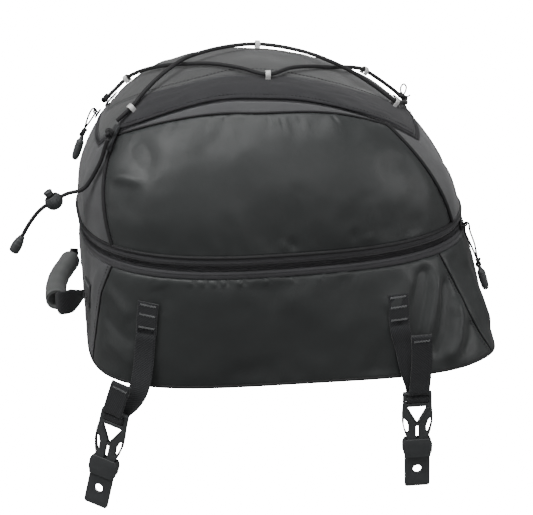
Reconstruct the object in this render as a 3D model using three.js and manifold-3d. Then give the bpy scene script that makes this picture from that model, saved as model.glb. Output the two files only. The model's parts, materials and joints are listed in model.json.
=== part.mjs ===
// Expandable motorcycle tail bag with a bungee-laced lid, a side grab handle and two buckled straps.
// Millimetres, +Z up, the front faces -Y. The origin is the middle of the flat underside.
import * as THREE from 'three';
import { mergeVertices } from 'three/addons/utils/BufferGeometryUtils.js';
import Module from 'manifold-3d';

const wasm = await Module();
wasm.setup();

// ---------------------------------------------------------------- driving dimensions
// The outline is a superellipse at every height. It is described at the base and at the expansion
// zipper, and closes to a dome above. Twist (degrees) and shift are the slump of a soft bag.
const BASE = { width: 209, front: 158, rear: 150, square: 4.0, shift: 17, twist: 3 };
const BAND = { width: 194, front: 150, rear: 150, square: 2.65, shift: 0, twist: 7 };
const CROWN = { square: 3.0, shift: -23, twist: -8 };
const SHOULDER = { width: 1.98, front: 2.35, rear: 1.83 };
const BAND_Z = 122;
const CROWN_Z = 290;

const FABRIC = 2.5;            // laminated and padded panel thickness
const SEAM_GAP = 0.4;          // gap between neighbouring solids
const COLUMN = 7.5;            // degrees between outline columns
const CORNER = 60;             // polar angle of the front seams
const REAR_CORNER = 120;       // polar angle of the rear seams
const BAND_HALF = 10;          // half height of the expansion zipper

const LID_SIDE_Z = 216;        // height of the lid opening along the sides and rear
const LID_ARCH = 54;           // how much higher the opening arches across the front
const LID_ARCH_ANGLE = 70;
const ARCH_POWER = { left: 2.5, right: 4 };
const SKIRT_WIDTH = 12;        // extra height of the rain skirt above the opening
const LENS_WIDTH = 8;          // matte strip between the front panel and the opening
const ZIP_END = 150;           // angle at which the lid zipper stops on each side

const WEBBING_WIDTH = 20;
const WEBBING_THICK = 1.8;
const BUNGEE_RADIUS = 2;
const PULL_CORD_RADIUS = 1;
const GRIP_RADIUS = 10.5;
const HANDLE_Z = 66;
const HANDLE_WIDTH = 25;

const BUCKLE_HALF = 14.8;
const BUCKLE_THICK = 9;
const MALE_THICK = 4.8;
const POCKET_THICK = MALE_THICK + 0.8;
const PLATE_HALF = 12.8;
const PLATE_THICK = 3;
const BOLT_RADIUS = 4.2;
const BOLT_Y = -79;

// ---------------------------------------------------------------- materials
const cloth = (color, roughness) => new THREE.MeshStandardMaterial({ color, roughness, metalness: 0 });
const LAMINATE = cloth(0x2b2f2f, 0.45);
const MATTE = cloth(0x3a3c3e, 0.85);
const DARK = cloth(0x1b1c1e, 0.9);
const BLACK_TRIM = cloth(0x121314, 0.7);
const WEBBING = cloth(0x1c1d1f, 0.9);
const PLASTIC = cloth(0x2c2e30, 0.5);
const RUBBER = cloth(0x3f4244, 0.6);
const REFLECTIVE = cloth(0xe8e8e6, 0.5);
const FOAM = cloth(0x303234, 0.95);
const ZINC = new THREE.MeshStandardMaterial({ color: 0x242526, roughness: 0.4, metalness: 0.6 });

// ---------------------------------------------------------------- the bag's outer surface
const radians = THREE.MathUtils.degToRad;
const lerp = THREE.MathUtils.lerp;
const domed = (t, power) => Math.pow(Math.max(1 - Math.pow(t, power), 0), 1 / power);

function sectionAt(z) {
  if (z <= BAND_Z) {
    const t = z / BAND_Z;
    return Object.fromEntries(Object.keys(BASE).map((key) => [key, lerp(BASE[key], BAND[key], t)]));
  }
  const t = Math.min((z - BAND_Z) / (CROWN_Z - BAND_Z), 1);
  return {
    width: BAND.width * domed(t, SHOULDER.width),
    front: BAND.front * domed(t, SHOULDER.front),
    rear: BAND.rear * domed(t, SHOULDER.rear),
    square: lerp(BAND.square, CROWN.square, t),
    shift: lerp(BAND.shift, CROWN.shift, t),
    twist: lerp(BAND.twist, CROWN.twist, t),
  };
}

// A point on the outline. Angle 0 is the front (-Y) and 90 the right side (+X).
function skin(angle, z) {
  const s = sectionAt(z);
  if (s.width < 1e-6) {
    return new THREE.Vector3(s.shift, 0, z);
  }
  const x = Math.sin(radians(angle));
  const y = -Math.cos(radians(angle));
  const depth = y < 0 ? s.front : s.rear;
  const reach = Math.abs(x / s.width) ** s.square + Math.abs(y / depth) ** s.square;
  const radius = Math.pow(reach, -1 / s.square);
  const point = new THREE.Vector3(x * radius, y * radius, z);
  point.applyAxisAngle(new THREE.Vector3(0, 0, 1), radians(s.twist));
  point.x += s.shift;
  return point;
}

// Height runs from -1 at the base through 0 at the band to 1 at the crown, evenly along the curve.
const DOME = CROWN_Z - BAND_Z;
const heightToZ = (h) => (h < 0 ? BAND_Z * (1 + h) : BAND_Z + DOME * Math.sin(h * Math.PI / 2));
const zToHeight = (z) => (z < BAND_Z ? z / BAND_Z - 1 : Math.asin((z - BAND_Z) / DOME) * 2 / Math.PI);

function normalAt(angle, z) {
  const h = zToHeight(z);
  if (h > 0.995) {
    return new THREE.Vector3(0, 0, 1);
  }
  const around = skin(angle + 0.5, z).sub(skin(angle - 0.5, z));
  const up = skin(angle, heightToZ(h + 0.004)).sub(skin(angle, heightToZ(h - 0.004)));
  return around.cross(up).normalize();
}

// A point standing proud of the surface; a negative lift is inside it.
const proud = (angle, z, lift) => skin(angle, z).addScaledVector(normalAt(angle, z), lift);

// The frame of the surface at a point: X along the outline, Y up the surface, Z outward.
function surfaceFrame(angle, z, lift) {
  const out = normalAt(angle, z);
  const along = skin(angle + 0.5, z).sub(skin(angle - 0.5, z)).normalize();
  const up = out.clone().cross(along);
  return new THREE.Matrix4().makeBasis(along, up, out).setPosition(proud(angle, z, lift));
}

// The angle at which the front of the outline passes a given x.
function angleAtX(x, z) {
  let low = -80;
  let high = 80;
  for (let i = 0; i < 40; i += 1) {
    const middle = (low + high) / 2;
    if (skin(middle, z).x < x) low = middle;
    else high = middle;
  }
  return low;
}

// ---------------------------------------------------------------- seam lines
const fromFront = (angle) => Math.abs(angle > 180 ? 360 - angle : angle);
// The lid's arch falls away gently to the left and stays high to the right.
const archPower = (angle) => (angle > 0 && angle < 180 ? ARCH_POWER.right : ARCH_POWER.left);
const arch = (angle, reach) => 1 - Math.pow(Math.min(fromFront(angle) / reach, 1), archPower(angle));
const openingZ = (angle) => LID_SIDE_Z + LID_ARCH * arch(angle, LID_ARCH_ANGLE);
const skirtTopZ = (angle) => LID_SIDE_Z + SKIRT_WIDTH + LID_ARCH * arch(angle, 90);
const lensLowZ = (angle) => openingZ(angle) - 3.6 - LENS_WIDTH * (1 - (angle / CORNER) ** 2);

// ---------------------------------------------------------------- geometry builders
function solidFrom(points, triangles) {
  const geometry = new THREE.BufferGeometry();
  const positions = points.flatMap((p) => [p.x, p.y, p.z]);
  geometry.setAttribute('position', new THREE.Float32BufferAttribute(positions, 3));
  geometry.setIndex(triangles);
  return geometry;
}

function quadInto(triangles, a, b, c, d) {
  triangles.push(a, b, c, a, c, d);
}

// A curved panel of the bag's wall between two angles and two heights, from lift `outer` to lift `inner`.
// `low` and `high` are heights or functions of the angle; `high: 'crown'` closes it over the top.
function panel({ from, to, low, high, rows, outer, inner, column = COLUMN }) {
  const closed = to - from >= 360;
  const capped = high === 'crown';
  const columns = Math.round((to - from) / column);
  const inset = closed ? 0 : 0.15;
  const stations = closed ? columns : columns + 1;
  const levels = capped ? rows : rows + 1;
  const edge = (line, angle) => zToHeight(typeof line === 'function' ? line(angle) : line);
  const points = [];
  for (const lift of [outer, inner]) {
    for (let i = 0; i < stations; i += 1) {
      const angle = lerp(from + inset, to - inset, i / columns);
      const start = edge(low, angle);
      const end = capped ? 1 : edge(high, angle);
      for (let j = 0; j < levels; j += 1) {
        points.push(proud(angle, heightToZ(lerp(start, end, j / rows)), lift));
      }
    }
    if (capped) {
      points.push(proud(0, CROWN_Z, lift));
    }
  }
  const layer = points.length / 2;
  const at = (side, i, j) => side * layer + (i % stations) * levels + j;
  const triangles = [];
  const top = levels - 1;
  for (let i = 0; i < columns; i += 1) {
    for (let j = 0; j < top; j += 1) {
      quadInto(triangles, at(0, i, j), at(0, i + 1, j), at(0, i + 1, j + 1), at(0, i, j + 1));
      quadInto(triangles, at(1, i, j), at(1, i, j + 1), at(1, i + 1, j + 1), at(1, i + 1, j));
    }
    quadInto(triangles, at(0, i, 0), at(1, i, 0), at(1, i + 1, 0), at(0, i + 1, 0));
    if (capped) {
      triangles.push(at(0, i, top), at(0, i + 1, top), layer - 1);
      triangles.push(at(1, i + 1, top), at(1, i, top), 2 * layer - 1);
    } else {
      quadInto(triangles, at(0, i, top), at(0, i + 1, top), at(1, i + 1, top), at(1, i, top));
    }
  }
  if (!closed) {
    const end = columns;
    for (let j = 0; j < top; j += 1) {
      quadInto(triangles, at(0, 0, j), at(0, 0, j + 1), at(1, 0, j + 1), at(1, 0, j));
      quadInto(triangles, at(0, end, j), at(1, end, j), at(1, end, j + 1), at(0, end, j + 1));
    }
  }
  return solidFrom(points, triangles);
}

// A flat strap swept through stations {point, across, half}: `across` is its width direction.
function ribbon(stations, thick) {
  const points = [];
  const triangles = [];
  stations.forEach(({ point, across, half }, i) => {
    const before = stations[Math.max(i - 1, 0)].point;
    const after = stations[Math.min(i + 1, stations.length - 1)].point;
    const along = after.clone().sub(before).normalize();
    const wide = across.clone().addScaledVector(along, -across.dot(along)).normalize();
    const face = wide.clone().cross(along).multiplyScalar(thick / 2);
    for (const [u, v] of [[-1, -1], [1, -1], [1, 1], [-1, 1]]) {
      points.push(point.clone().addScaledVector(wide, u * half).addScaledVector(face, v));
    }
  });
  const last = 4 * (stations.length - 1);
  quadInto(triangles, 0, 1, 2, 3);
  quadInto(triangles, last, last + 3, last + 2, last + 1);
  for (let k = 0; k < last; k += 4) {
    for (let c = 0; c < 4; c += 1) {
      const d = (c + 1) % 4;
      quadInto(triangles, k + c, k + c + 4, k + d + 4, k + d);
    }
  }
  return solidFrom(points, triangles);
}

function circleShape(radius, sides) {
  const shape = new THREE.Shape();
  for (let i = 0; i < sides; i += 1) {
    const a = i / sides * 2 * Math.PI;
    shape[i === 0 ? 'moveTo' : 'lineTo'](radius * Math.cos(a), radius * Math.sin(a));
  }
  shape.closePath();
  return shape;
}

// A round cord or tube along a smooth curve through the given points.
function tube(points, radius, steps, sides = 8) {
  const curve = new THREE.CatmullRomCurve3(points, false, 'centripetal');
  const options = { steps, extrudePath: curve, bevelEnabled: false };
  return new THREE.ExtrudeGeometry(circleShape(radius, sides), options);
}

// A flat plate from an outline, centred on z = 0.
function plate(outline, thick, holes = []) {
  const shape = new THREE.Shape(outline.map(([x, y]) => new THREE.Vector2(x, y)));
  shape.holes = holes.map((hole) => new THREE.Path(hole.map(([x, y]) => new THREE.Vector2(x, y))));
  const geometry = new THREE.ExtrudeGeometry(shape, { depth: thick, bevelEnabled: false });
  return geometry.translate(0, 0, -thick / 2);
}

const mirrored = (half) => [...half, ...half.map(([x, y]) => [-x, y]).reverse()];
const rectangle = (x0, y0, x1, y1) => [[x0, y0], [x1, y0], [x1, y1], [x0, y1]];
const ring = (radius, sides, cx = 0, cy = 0) => Array.from({ length: sides }, (_, i) => {
  const a = (i + 0.5) / sides * 2 * Math.PI;
  return [cx + radius * Math.cos(a), cy + radius * Math.sin(a)];
});

function turned(profile, sides) {
  return new THREE.LatheGeometry(profile.map(([r, y]) => new THREE.Vector2(r, y)), sides);
}

function toManifold(geometry) {
  const bare = geometry.clone();
  bare.deleteAttribute('normal');
  bare.deleteAttribute('uv');
  const merged = mergeVertices(bare, 1e-4);
  return new wasm.Manifold(new wasm.Mesh({
    numProp: 3,
    vertProperties: new Float32Array(merged.attributes.position.array),
    triVerts: new Uint32Array(merged.index.array),
  }));
}

function fromManifold(solid) {
  const mesh = solid.getMesh();
  const geometry = new THREE.BufferGeometry();
  geometry.setAttribute('position', new THREE.BufferAttribute(mesh.vertProperties, 3));
  geometry.setIndex(new THREE.BufferAttribute(mesh.triVerts, 1));
  return geometry;
}

function cut(body, ...tools) {
  return fromManifold(tools.reduce((solid, tool) => solid.subtract(toManifold(tool)), toManifold(body)));
}

const bag = new THREE.Group();
bag.name = 'tail_bag';

function add(name, geometry, material, frame = null) {
  const mesh = new THREE.Mesh(geometry, material);
  mesh.name = name;
  if (frame) {
    frame.decompose(mesh.position, mesh.quaternion, mesh.scale);
  }
  bag.add(mesh);
}

// ---------------------------------------------------------------- lower tier
function outlineAtBase(inset) {
  const points = [];
  for (let angle = 0; angle < 360; angle += COLUMN) {
    const p = skin(angle, 0);
    const scale = 1 - inset / Math.hypot(p.x - BASE.shift, p.y);
    points.push([BASE.shift + (p.x - BASE.shift) * scale, p.y * scale]);
  }
  return points;
}

function slab(inset, low, high) {
  return plate(outlineAtBase(inset), high - low).translate(0, 0, (low + high) / 2);
}

const wall = { outer: 0, inner: -FABRIC };
const WALLS = [
  ['front', -CORNER, CORNER],
  ['right', CORNER, REAR_CORNER],
  ['rear', REAR_CORNER, 360 - REAR_CORNER],
  ['left', -REAR_CORNER, -CORNER],
];

function buildLowerTier() {
  add('base_panel', slab(5, 0, 2.5), DARK);
  add('base_board', slab(9, 3, 6.5), FOAM);
  const low = 0.8;
  const binding = panel({ from: 0, to: 360, low, high: 7, rows: 1, outer: 2, inner: 0.6 });
  add('base_binding', binding, BLACK_TRIM);
  const high = BAND_Z - BAND_HALF - SEAM_GAP;
  for (const [name, from, to] of WALLS) {
    const material = name === 'front' ? LAMINATE : MATTE;
    add(`lower_${name}_panel`, panel({ from, to, low, high, rows: 3, ...wall }), material);
  }
}

// ---------------------------------------------------------------- expansion zipper
function band(low, high, outer, inner) {
  return panel({ from: 0, to: 360, low: BAND_Z + low, high: BAND_Z + high, rows: 1, outer, inner });
}

function buildExpansionZipper() {
  add('expansion_tape_lower', band(-BAND_HALF, -3.2, 0.5, -1.3), DARK);
  add('expansion_coil_lower', band(-2.8, -0.25, 1.2, -1.3), BLACK_TRIM);
  add('expansion_coil_upper', band(0.25, 2.8, 1.2, -1.3), BLACK_TRIM);
  add('expansion_tape_upper', band(3.2, BAND_HALF, 0.5, -1.3), DARK);
  add('expansion_gusset', band(-BAND_HALF + 1, BAND_HALF - 1, -5, -7), DARK);
}

// A zipper slider: a foot over the coil, and a narrow arch whose bar holds the pull.
const SLIDER = { length: 13, width: 9, foot: 2, bar: 5.8, barHalf: 0.8, post: 4.2 };

function sliderGeometry() {
  const { length, width, foot, bar, barHalf, post } = SLIDER;
  const base = plate(rectangle(-length / 2, 0, length / 2, foot), width);
  const arch = plate(
    rectangle(-post, foot - 0.5, post, bar + barHalf),
    2 * barHalf,
    [rectangle(-post + 1.4, foot, post - 1.4, bar - barHalf)],
  );
  return fromManifold(toManifold(base).add(toManifold(arch))).rotateX(Math.PI / 2);
}

// A cord loop round the slider's bar, both legs hanging to a knot, with a moulded tip below it.
// Stations of the loop: drop below the bar, sideways offset and lift off the bag.
const SLIDER_LIFT = 2.1;
const PULL_LOOP = [
  [22, -0.8, 7.2], [14, -1.6, 6], [8, -0.8, 5.4], [3, 0, 5.4], [0, 0, 5.4], [-1.8, 0, 6.1],
  [-2.5, 0, 7.9], [-1.8, 0, 9.7], [0, 0, 10.4], [6, 0.8, 10], [14, 1.6, 8.6], [22, 0.8, 7.2],
];
const PULL_LOOP_DROP = 22;
const DEGREES_PER_MM = 0.31;

function pullPoint(angle, z, [drop, side, lift]) {
  if (drop < 9) {
    return new THREE.Vector3(side, -drop, lift).applyMatrix4(surfaceFrame(angle, z, 0));
  }
  return proud(angle + side * DEGREES_PER_MM, z - drop, lift);
}

function pullCord(angle, z, loop) {
  const stretch = ([drop, side, lift]) => [drop < 9 ? drop : drop * loop / PULL_LOOP_DROP, side, lift];
  return tube(PULL_LOOP.map((stop) => pullPoint(angle, z, stretch(stop))), PULL_CORD_RADIUS, 30);
}

function pullTip(angle, z, loop, reach) {
  const top = pullPoint(angle, z, [loop + 0.6, 0, 7.2]);
  const bottom = pullPoint(angle, z, [reach, 0, 7.2]);
  const length = top.distanceTo(bottom);
  const profile = [
    [0, 0], [3, -0.6], [4.4, -3.5], [4.2, -7.5], [2.2, -9.5], [2.2, -12],
    [4.6, -14], [4.2, -length + 5], [2.8, -length + 0.8], [0, -length],
  ].reverse();
  const spin = new THREE.Quaternion().setFromUnitVectors(
    new THREE.Vector3(0, 1, 0),
    top.clone().sub(bottom).normalize(),
  );
  return turned(profile, 10).applyQuaternion(spin).translate(top.x, top.y, top.z);
}

function addSlider(name, angle, z, loop, reach) {
  add(`${name}_slider`, sliderGeometry(), ZINC, surfaceFrame(angle, z, SLIDER_LIFT));
  add(`${name}_pull_cord`, pullCord(angle, z, loop), BLACK_TRIM);
  add(`${name}_pull_tip`, pullTip(angle, z, loop, reach), PLASTIC);
}

// ---------------------------------------------------------------- upper tier
function buildUpperTier() {
  const low = BAND_Z + BAND_HALF + SEAM_GAP;
  add('upper_front_panel', panel({
    from: -CORNER, to: CORNER, low, high: (a) => lensLowZ(a) - SEAM_GAP, rows: 5, ...wall,
  }), LAMINATE);
  add('upper_lens_strip', panel({
    from: -52.5, to: 52.5, low: lensLowZ, high: (a) => openingZ(a) - 3.4, rows: 1, ...wall,
  }), MATTE);
  // Behind the zipper's ends the rear panel runs up to the lid, where the fabric folds as its hinge.
  const behindZipper = (angle) => angle > ZIP_END + COLUMN / 2 && angle < 361 - ZIP_END - COLUMN;
  const high = (angle) => openingZ(angle) + (behindZipper(angle) ? 2.8 : -3.4);
  for (const [name, from, to] of WALLS.slice(1)) {
    add(`upper_${name}_panel`, panel({ from, to, low, high, rows: 4, ...wall }), MATTE);
  }
  for (const [name, side] of [['left', -1], ['right', 1]]) {
    add(`upper_${name}_piping`, panel({
      from: side * CORNER - 1.1, to: side * CORNER + 1.1, low, high: (a) => lensLowZ(a) - 4,
      rows: 6, outer: 2.4, inner: 0.7, column: 2.2,
    }), BLACK_TRIM);
  }
}

// ---------------------------------------------------------------- lid
function buildLid() {
  const strip = { from: -ZIP_END, to: ZIP_END, rows: 1, outer: 1.4, inner: -1.2 };
  for (const [name, low, high] of [['lower', -3, -0.2], ['upper', 0.2, 3]]) {
    const zip = panel({ ...strip, low: (a) => openingZ(a) + low, high: (a) => openingZ(a) + high });
    add(`lid_zip_${name}`, zip, BLACK_TRIM);
  }
  const lidLowZ = (angle) => openingZ(angle) + 3.4;
  add('lid_skirt', panel({
    from: -105, to: 105, low: lidLowZ, high: skirtTopZ, rows: 2, outer: 0.4, inner: -FABRIC,
  }), DARK);
  add('lid_crown', panel({
    from: 0, to: 360, low: (a) => skirtTopZ(a) + 0.6, high: 'crown', rows: 5, ...wall,
  }), MATTE);
  add('lid_rear_panel', panel({
    from: 105, to: 255, low: lidLowZ, high: skirtTopZ, rows: 1, ...wall,
  }), DARK);
  add('lid_foam', panel({
    from: 0, to: 360, low: 262, high: 'crown', rows: 3, outer: -FABRIC - 2, inner: -9, column: 15,
  }), FOAM);
}

// ---------------------------------------------------------------- bungee lacing on the lid
// The cord's way over the lid: {angle, z, lift}, with a name where it runs through a sewn loop.
const LACING = [
  { angle: -103, z: 231, lift: 5.4 },
  { angle: -107, z: 247, lift: 5.6, loop: 'mid_left' },
  { angle: -65, z: 281.5, lift: 3 },
  { angle: 21, z: 280.5, lift: 5.4, loop: 'front_centre' },
  { angle: 86, z: 274, lift: 3 },
  { angle: 111, z: 254, lift: 5.6, loop: 'mid_right' },
  { angle: 105, z: 229, lift: 5.4 },
  { angle: 96, z: 227, lift: 6 },
  { angle: 83, z: 239, lift: 5.4, loop: 'front_right' },
  { angle: 86, z: 274.5, lift: 8.4 },
  { angle: 146, z: 288.6, lift: 5.4, loop: 'rear_centre' },
  { angle: -65, z: 282, lift: 8.4 },
  { angle: -58, z: 250, lift: 5.4, loop: 'front_left' },
  { angle: -60, z: 238, lift: 7.2 },
];

// Pushes a point from the middle of the bag out to the surface, then stands it proud.
const HEART = new THREE.Vector3(-14, 0, 150);

function insideSkin(point) {
  if (point.z >= CROWN_Z) return false;
  const s = sectionAt(point.z);
  const local = point.clone().sub(new THREE.Vector3(s.shift, 0, 0));
  local.applyAxisAngle(new THREE.Vector3(0, 0, 1), -radians(s.twist));
  const depth = local.y < 0 ? s.front : s.rear;
  return Math.abs(local.x / s.width) ** s.square + Math.abs(local.y / depth) ** s.square < 1;
}

function ontoSkin(point, lift) {
  const ray = point.clone().sub(HEART);
  let low = 0.3;
  let high = 3;
  for (let i = 0; i < 40; i += 1) {
    const middle = (low + high) / 2;
    if (insideSkin(HEART.clone().addScaledVector(ray, middle))) low = middle;
    else high = middle;
  }
  return HEART.clone().addScaledVector(ray, low + lift / ray.length());
}

function lacingPoints() {
  const points = [];
  LACING.forEach((stop, k) => {
    const here = proud(stop.angle, stop.z, stop.lift);
    if (k > 0) {
      const last = LACING[k - 1];
      const before = proud(last.angle, last.z, last.lift);
      const spans = Math.max(Math.round(before.distanceTo(here) / 26), 1);
      for (let i = 1; i < spans; i += 1) {
        const t = i / spans;
        const rise = lerp(last.lift, stop.lift, t * t * (3 - 2 * t));
        points.push(ontoSkin(before.clone().lerp(here, t), rise));
      }
    }
    points.push(here);
  });
  return points;
}

const LOOP = { inner: 3.6, wall: 0.9, tape: 5 };

function sewnLoop(stop, path) {
  const centre = proud(stop.angle, stop.z, stop.lift);
  const distances = path.map((p) => p.distanceTo(centre));
  const nearest = distances.indexOf(Math.min(...distances));
  const along = path[nearest + 1].clone().sub(path[nearest - 1]).normalize();
  const out = normalAt(stop.angle, stop.z);
  const side = out.clone().cross(along).normalize();
  const up = along.clone().cross(side);
  const foot = -stop.lift + 0.7;
  const arc = (radius, base) => {
    const half = [];
    for (let i = 0; i <= 4; i += 1) {
      const a = i / 8 * Math.PI;
      half.push([radius * Math.cos(a), radius * Math.sin(a)]);
    }
    return mirrored([[radius, base], ...half.slice(0, 4), [radius * 0.2, radius * 0.98]]);
  };
  const outline = arc(LOOP.inner + LOOP.wall, foot);
  const hole = arc(LOOP.inner, foot + LOOP.wall);
  const frame = new THREE.Matrix4().makeBasis(side, up, along).setPosition(centre);
  add(`loop_${stop.loop}`, plate(outline, LOOP.tape, [hole]), REFLECTIVE, frame);
}

function patch(angle, halfAngle, low, high, lift, thick) {
  return panel({
    from: angle - halfAngle, to: angle + halfAngle, low, high, rows: 2,
    outer: lift + thick, inner: lift, column: halfAngle,
  });
}

function buildLacing() {
  const path = lacingPoints();
  add('bungee_cord', tube(path, BUNGEE_RADIUS, 84), BLACK_TRIM);
  const smooth = new THREE.CatmullRomCurve3(path, false, 'centripetal').getSpacedPoints(400);
  LACING.filter((stop) => stop.loop).forEach((stop) => sewnLoop(stop, smooth));
  add('bungee_tab_left', patch(-103, 2.2, 225, 237, 1, 1.6), WEBBING);
  add('bungee_tab_right', patch(100, 2.6, 222, 234, 1, 1.6), WEBBING);
  add('bungee_tab_tail', patch(-60, 2, 216, 236, 3.2, 1.8), WEBBING);
}

// ---------------------------------------------------------------- free tail of the bungee
const TAIL_Y = -85;
const TAIL = [
  [-160, 230], [-163, 222], [-167, 210], [-172.5, 199], [-178.5, 189], [-183.6, 182.4], [-189, 179],
  [-195.5, 177.8], [-202.8, 175.6], [-214, 169], [-225.2, 162.4], [-232.5, 155.2], [-239.5, 145.5],
  [-246, 134.5],
];
const LOCK_INDEX = 9;
const tailPoint = ([x, z]) => new THREE.Vector3(x, TAIL_Y, z);
const LOCK = { radius: 8.6, bore: 3.6, plunger: 4.4, pocket: 4.9, travel: 4, stand: 11.5 };

function tailFrame(index) {
  const before = tailPoint(TAIL[index - 1]);
  const after = tailPoint(TAIL[Math.min(index + 1, TAIL.length - 1)]);
  const along = after.sub(before).normalize();
  const forward = new THREE.Vector3(0, -1, 0);
  const up = along.clone().cross(forward);
  return new THREE.Matrix4().makeBasis(forward, up, along).setPosition(tailPoint(TAIL[index]));
}

const rod = (radius, from, to, sides) => new THREE.CylinderGeometry(radius, radius, to - from, sides)
  .translate(0, (from + to) / 2, 0);

function buildCordLock() {
  const frame = tailFrame(LOCK_INDEX);
  const ball = new THREE.SphereGeometry(LOCK.radius, 16, 10);
  const bore = rod(LOCK.bore, -20, 20, 10).rotateX(Math.PI / 2);
  const pocket = rod(LOCK.pocket, -LOCK.radius + 2.2, 20, 12);
  add('cord_lock_body', cut(ball, pocket, bore), PLASTIC, frame);
  const floor = -LOCK.radius + 2.6 + LOCK.travel;
  const stem = rod(LOCK.plunger, floor, LOCK.stand, 12);
  const slot = new THREE.BoxGeometry(5.2, 5.6 + LOCK.travel, 20).translate(0, LOCK.travel / 2, 0);
  add('cord_lock_plunger', cut(stem, slot), PLASTIC, frame);
}

function buildTail() {
  add('bungee_tail', tube(TAIL.map(tailPoint), BUNGEE_RADIUS, 36), BLACK_TRIM);
  buildCordLock();
  const profile = [[0, 0.6], [2.6, 0.6], [3.4, 3], [5.2, 10], [5.2, 18], [4.2, 20.5], [0, 20.5]];
  const bell = turned(profile, 12).rotateX(Math.PI / 2);
  add('cord_end', bell, PLASTIC, tailFrame(TAIL.length - 1));
}

// ---------------------------------------------------------------- side grab handle
const HANDLE_ROUTE = [
  [-216.7, -87.5], [-218.5, -66], [-218, -42], [-215.5, -22], [-211.5, -5], [-207.4, 14],
];
const HANDLE_FRONT = [[-190.2, -72], [-196, -83], [-204, -92.5], [-212, -95], [-216.6, -89.6]];
const HANDLE_REAR = [[-207.2, 16.4], [-205.4, 24], [-203, 31], [-200.8, 38]];
const flat = ([x, y]) => new THREE.Vector3(x, y, HANDLE_Z);

// Webbing that narrows towards its anchor, so it turns there without fouling.
function taperedWebbing(route, anchorFirst) {
  const curve = new THREE.CatmullRomCurve3(route.map(flat), false, 'centripetal');
  const length = curve.getLength();
  const steps = 9;
  const stations = [];
  for (let i = 0; i <= steps; i += 1) {
    const t = i / steps;
    const fromAnchor = length * (anchorFirst ? t : 1 - t);
    const half = Math.min(3 + 0.42 * fromAnchor, HANDLE_WIDTH / 2);
    stations.push({ point: curve.getPointAt(t), across: new THREE.Vector3(0, 0, 1), half });
  }
  return ribbon(stations, WEBBING_THICK + 0.6);
}

function handlePatch(angle, low, high) {
  return patch(angle, 3.5, low, high, 0.5, 1.8);
}

function buildHandle() {
  add('handle_grip', tube(HANDLE_ROUTE.map(flat), GRIP_RADIUS, 16, 14), RUBBER);
  add('handle_webbing_front', taperedWebbing(HANDLE_FRONT, true), WEBBING);
  add('handle_webbing_rear', taperedWebbing(HANDLE_REAR, false), WEBBING);
  add('handle_patch_front', handlePatch(-75, HANDLE_Z - 13, HANDLE_Z + 13), WEBBING);
  add('handle_patch_rear', handlePatch(-106, HANDLE_Z - 13, HANDLE_Z + 13), WEBBING);
}

// ---------------------------------------------------------------- mounting straps and buckles
// Each strap's stations run down from its anchor: [x, z]. Its buckle hangs from the pivot in a plane of
// constant y, leaning to one side and turned about its own length by the given angles.
const STRAPS = {
  right: {
    anchor: [[115, 84], [115.5, 75], [116, 66], [116.5, 53.8]],
    webbing: [[117, 49.6], [121, 36], [125, 19], [129, 3], [131.2, -3], [132.6, -9]],
    tail: [[134.8, -13], [136.2, 2], [136.8, 20], [136.4, 34], [135.4, 48]],
    pivot: [134.5, -20], lean: 2, turn: 0, plane: -157,
  },
  left: {
    anchor: [[-126, 86], [-127, 77], [-128, 68], [-129, 55]],
    webbing: [[-129.5, 51.5], [-131, 38], [-133, 21], [-137, 4], [-143, -7], [-152, -16]],
    tail: [[-161.5, -21], [-159, -11], [-155.5, 0], [-152.5, 9]],
    pivot: [-162, -27], lean: -13, turn: 25, plane: -163,
  },
};
const ANCHOR_LIFT = 1.5;
const STRAP_LIFT = 2.8;
const TAIL_LIFT = 5;

// Local X runs across the buckle, Y up the strap and Z to the front.
function buckleFrame({ pivot, lean, turn, plane }) {
  const frame = new THREE.Matrix4().makeRotationY(radians(-lean));
  frame.multiply(new THREE.Matrix4().makeRotationX(Math.PI / 2));
  frame.multiply(new THREE.Matrix4().makeRotationY(radians(-turn)));
  return frame.setPosition(pivot[0], plane, pivot[1]);
}

const column = (matrix, index) => new THREE.Vector3().setFromMatrixColumn(matrix, index);

function strapPoint([x, z], lift, plane) {
  if (z < 0) {
    return new THREE.Vector3(x, plane, z);
  }
  const p = proud(angleAtX(x, z), z, lift);
  const blend = Math.max(1 - z / 30, 0);
  return new THREE.Vector3(x, lerp(p.y, Math.min(plane, p.y), blend), z);
}

// Stations along the bag, turning from the surface's own direction to the buckle's where it hangs.
function strapStations(strap, route, lift, hangs) {
  const level = column(buckleFrame(strap), 0);
  return route.map((stop, i) => {
    const t = i / (route.length - 1);
    const z = Math.max(stop[1], 1);
    const angle = angleAtX(stop[0], z);
    const surface = skin(angle + 1, z).sub(skin(angle - 1, z)).normalize();
    const across = surface.lerp(level, hangs ? t : 0).normalize();
    return { point: strapPoint(stop, lift, strap.plane), across, half: WEBBING_WIDTH / 2 };
  });
}

function tailStations(strap) {
  const frame = buckleFrame(strap);
  const front = column(frame, 2).multiplyScalar(TAIL_LIFT);
  return strap.tail.map(([x, z]) => ({
    point: new THREE.Vector3(x, strap.plane, z).add(front),
    across: column(frame, 0),
    half: WEBBING_WIDTH / 2,
  }));
}

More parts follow.
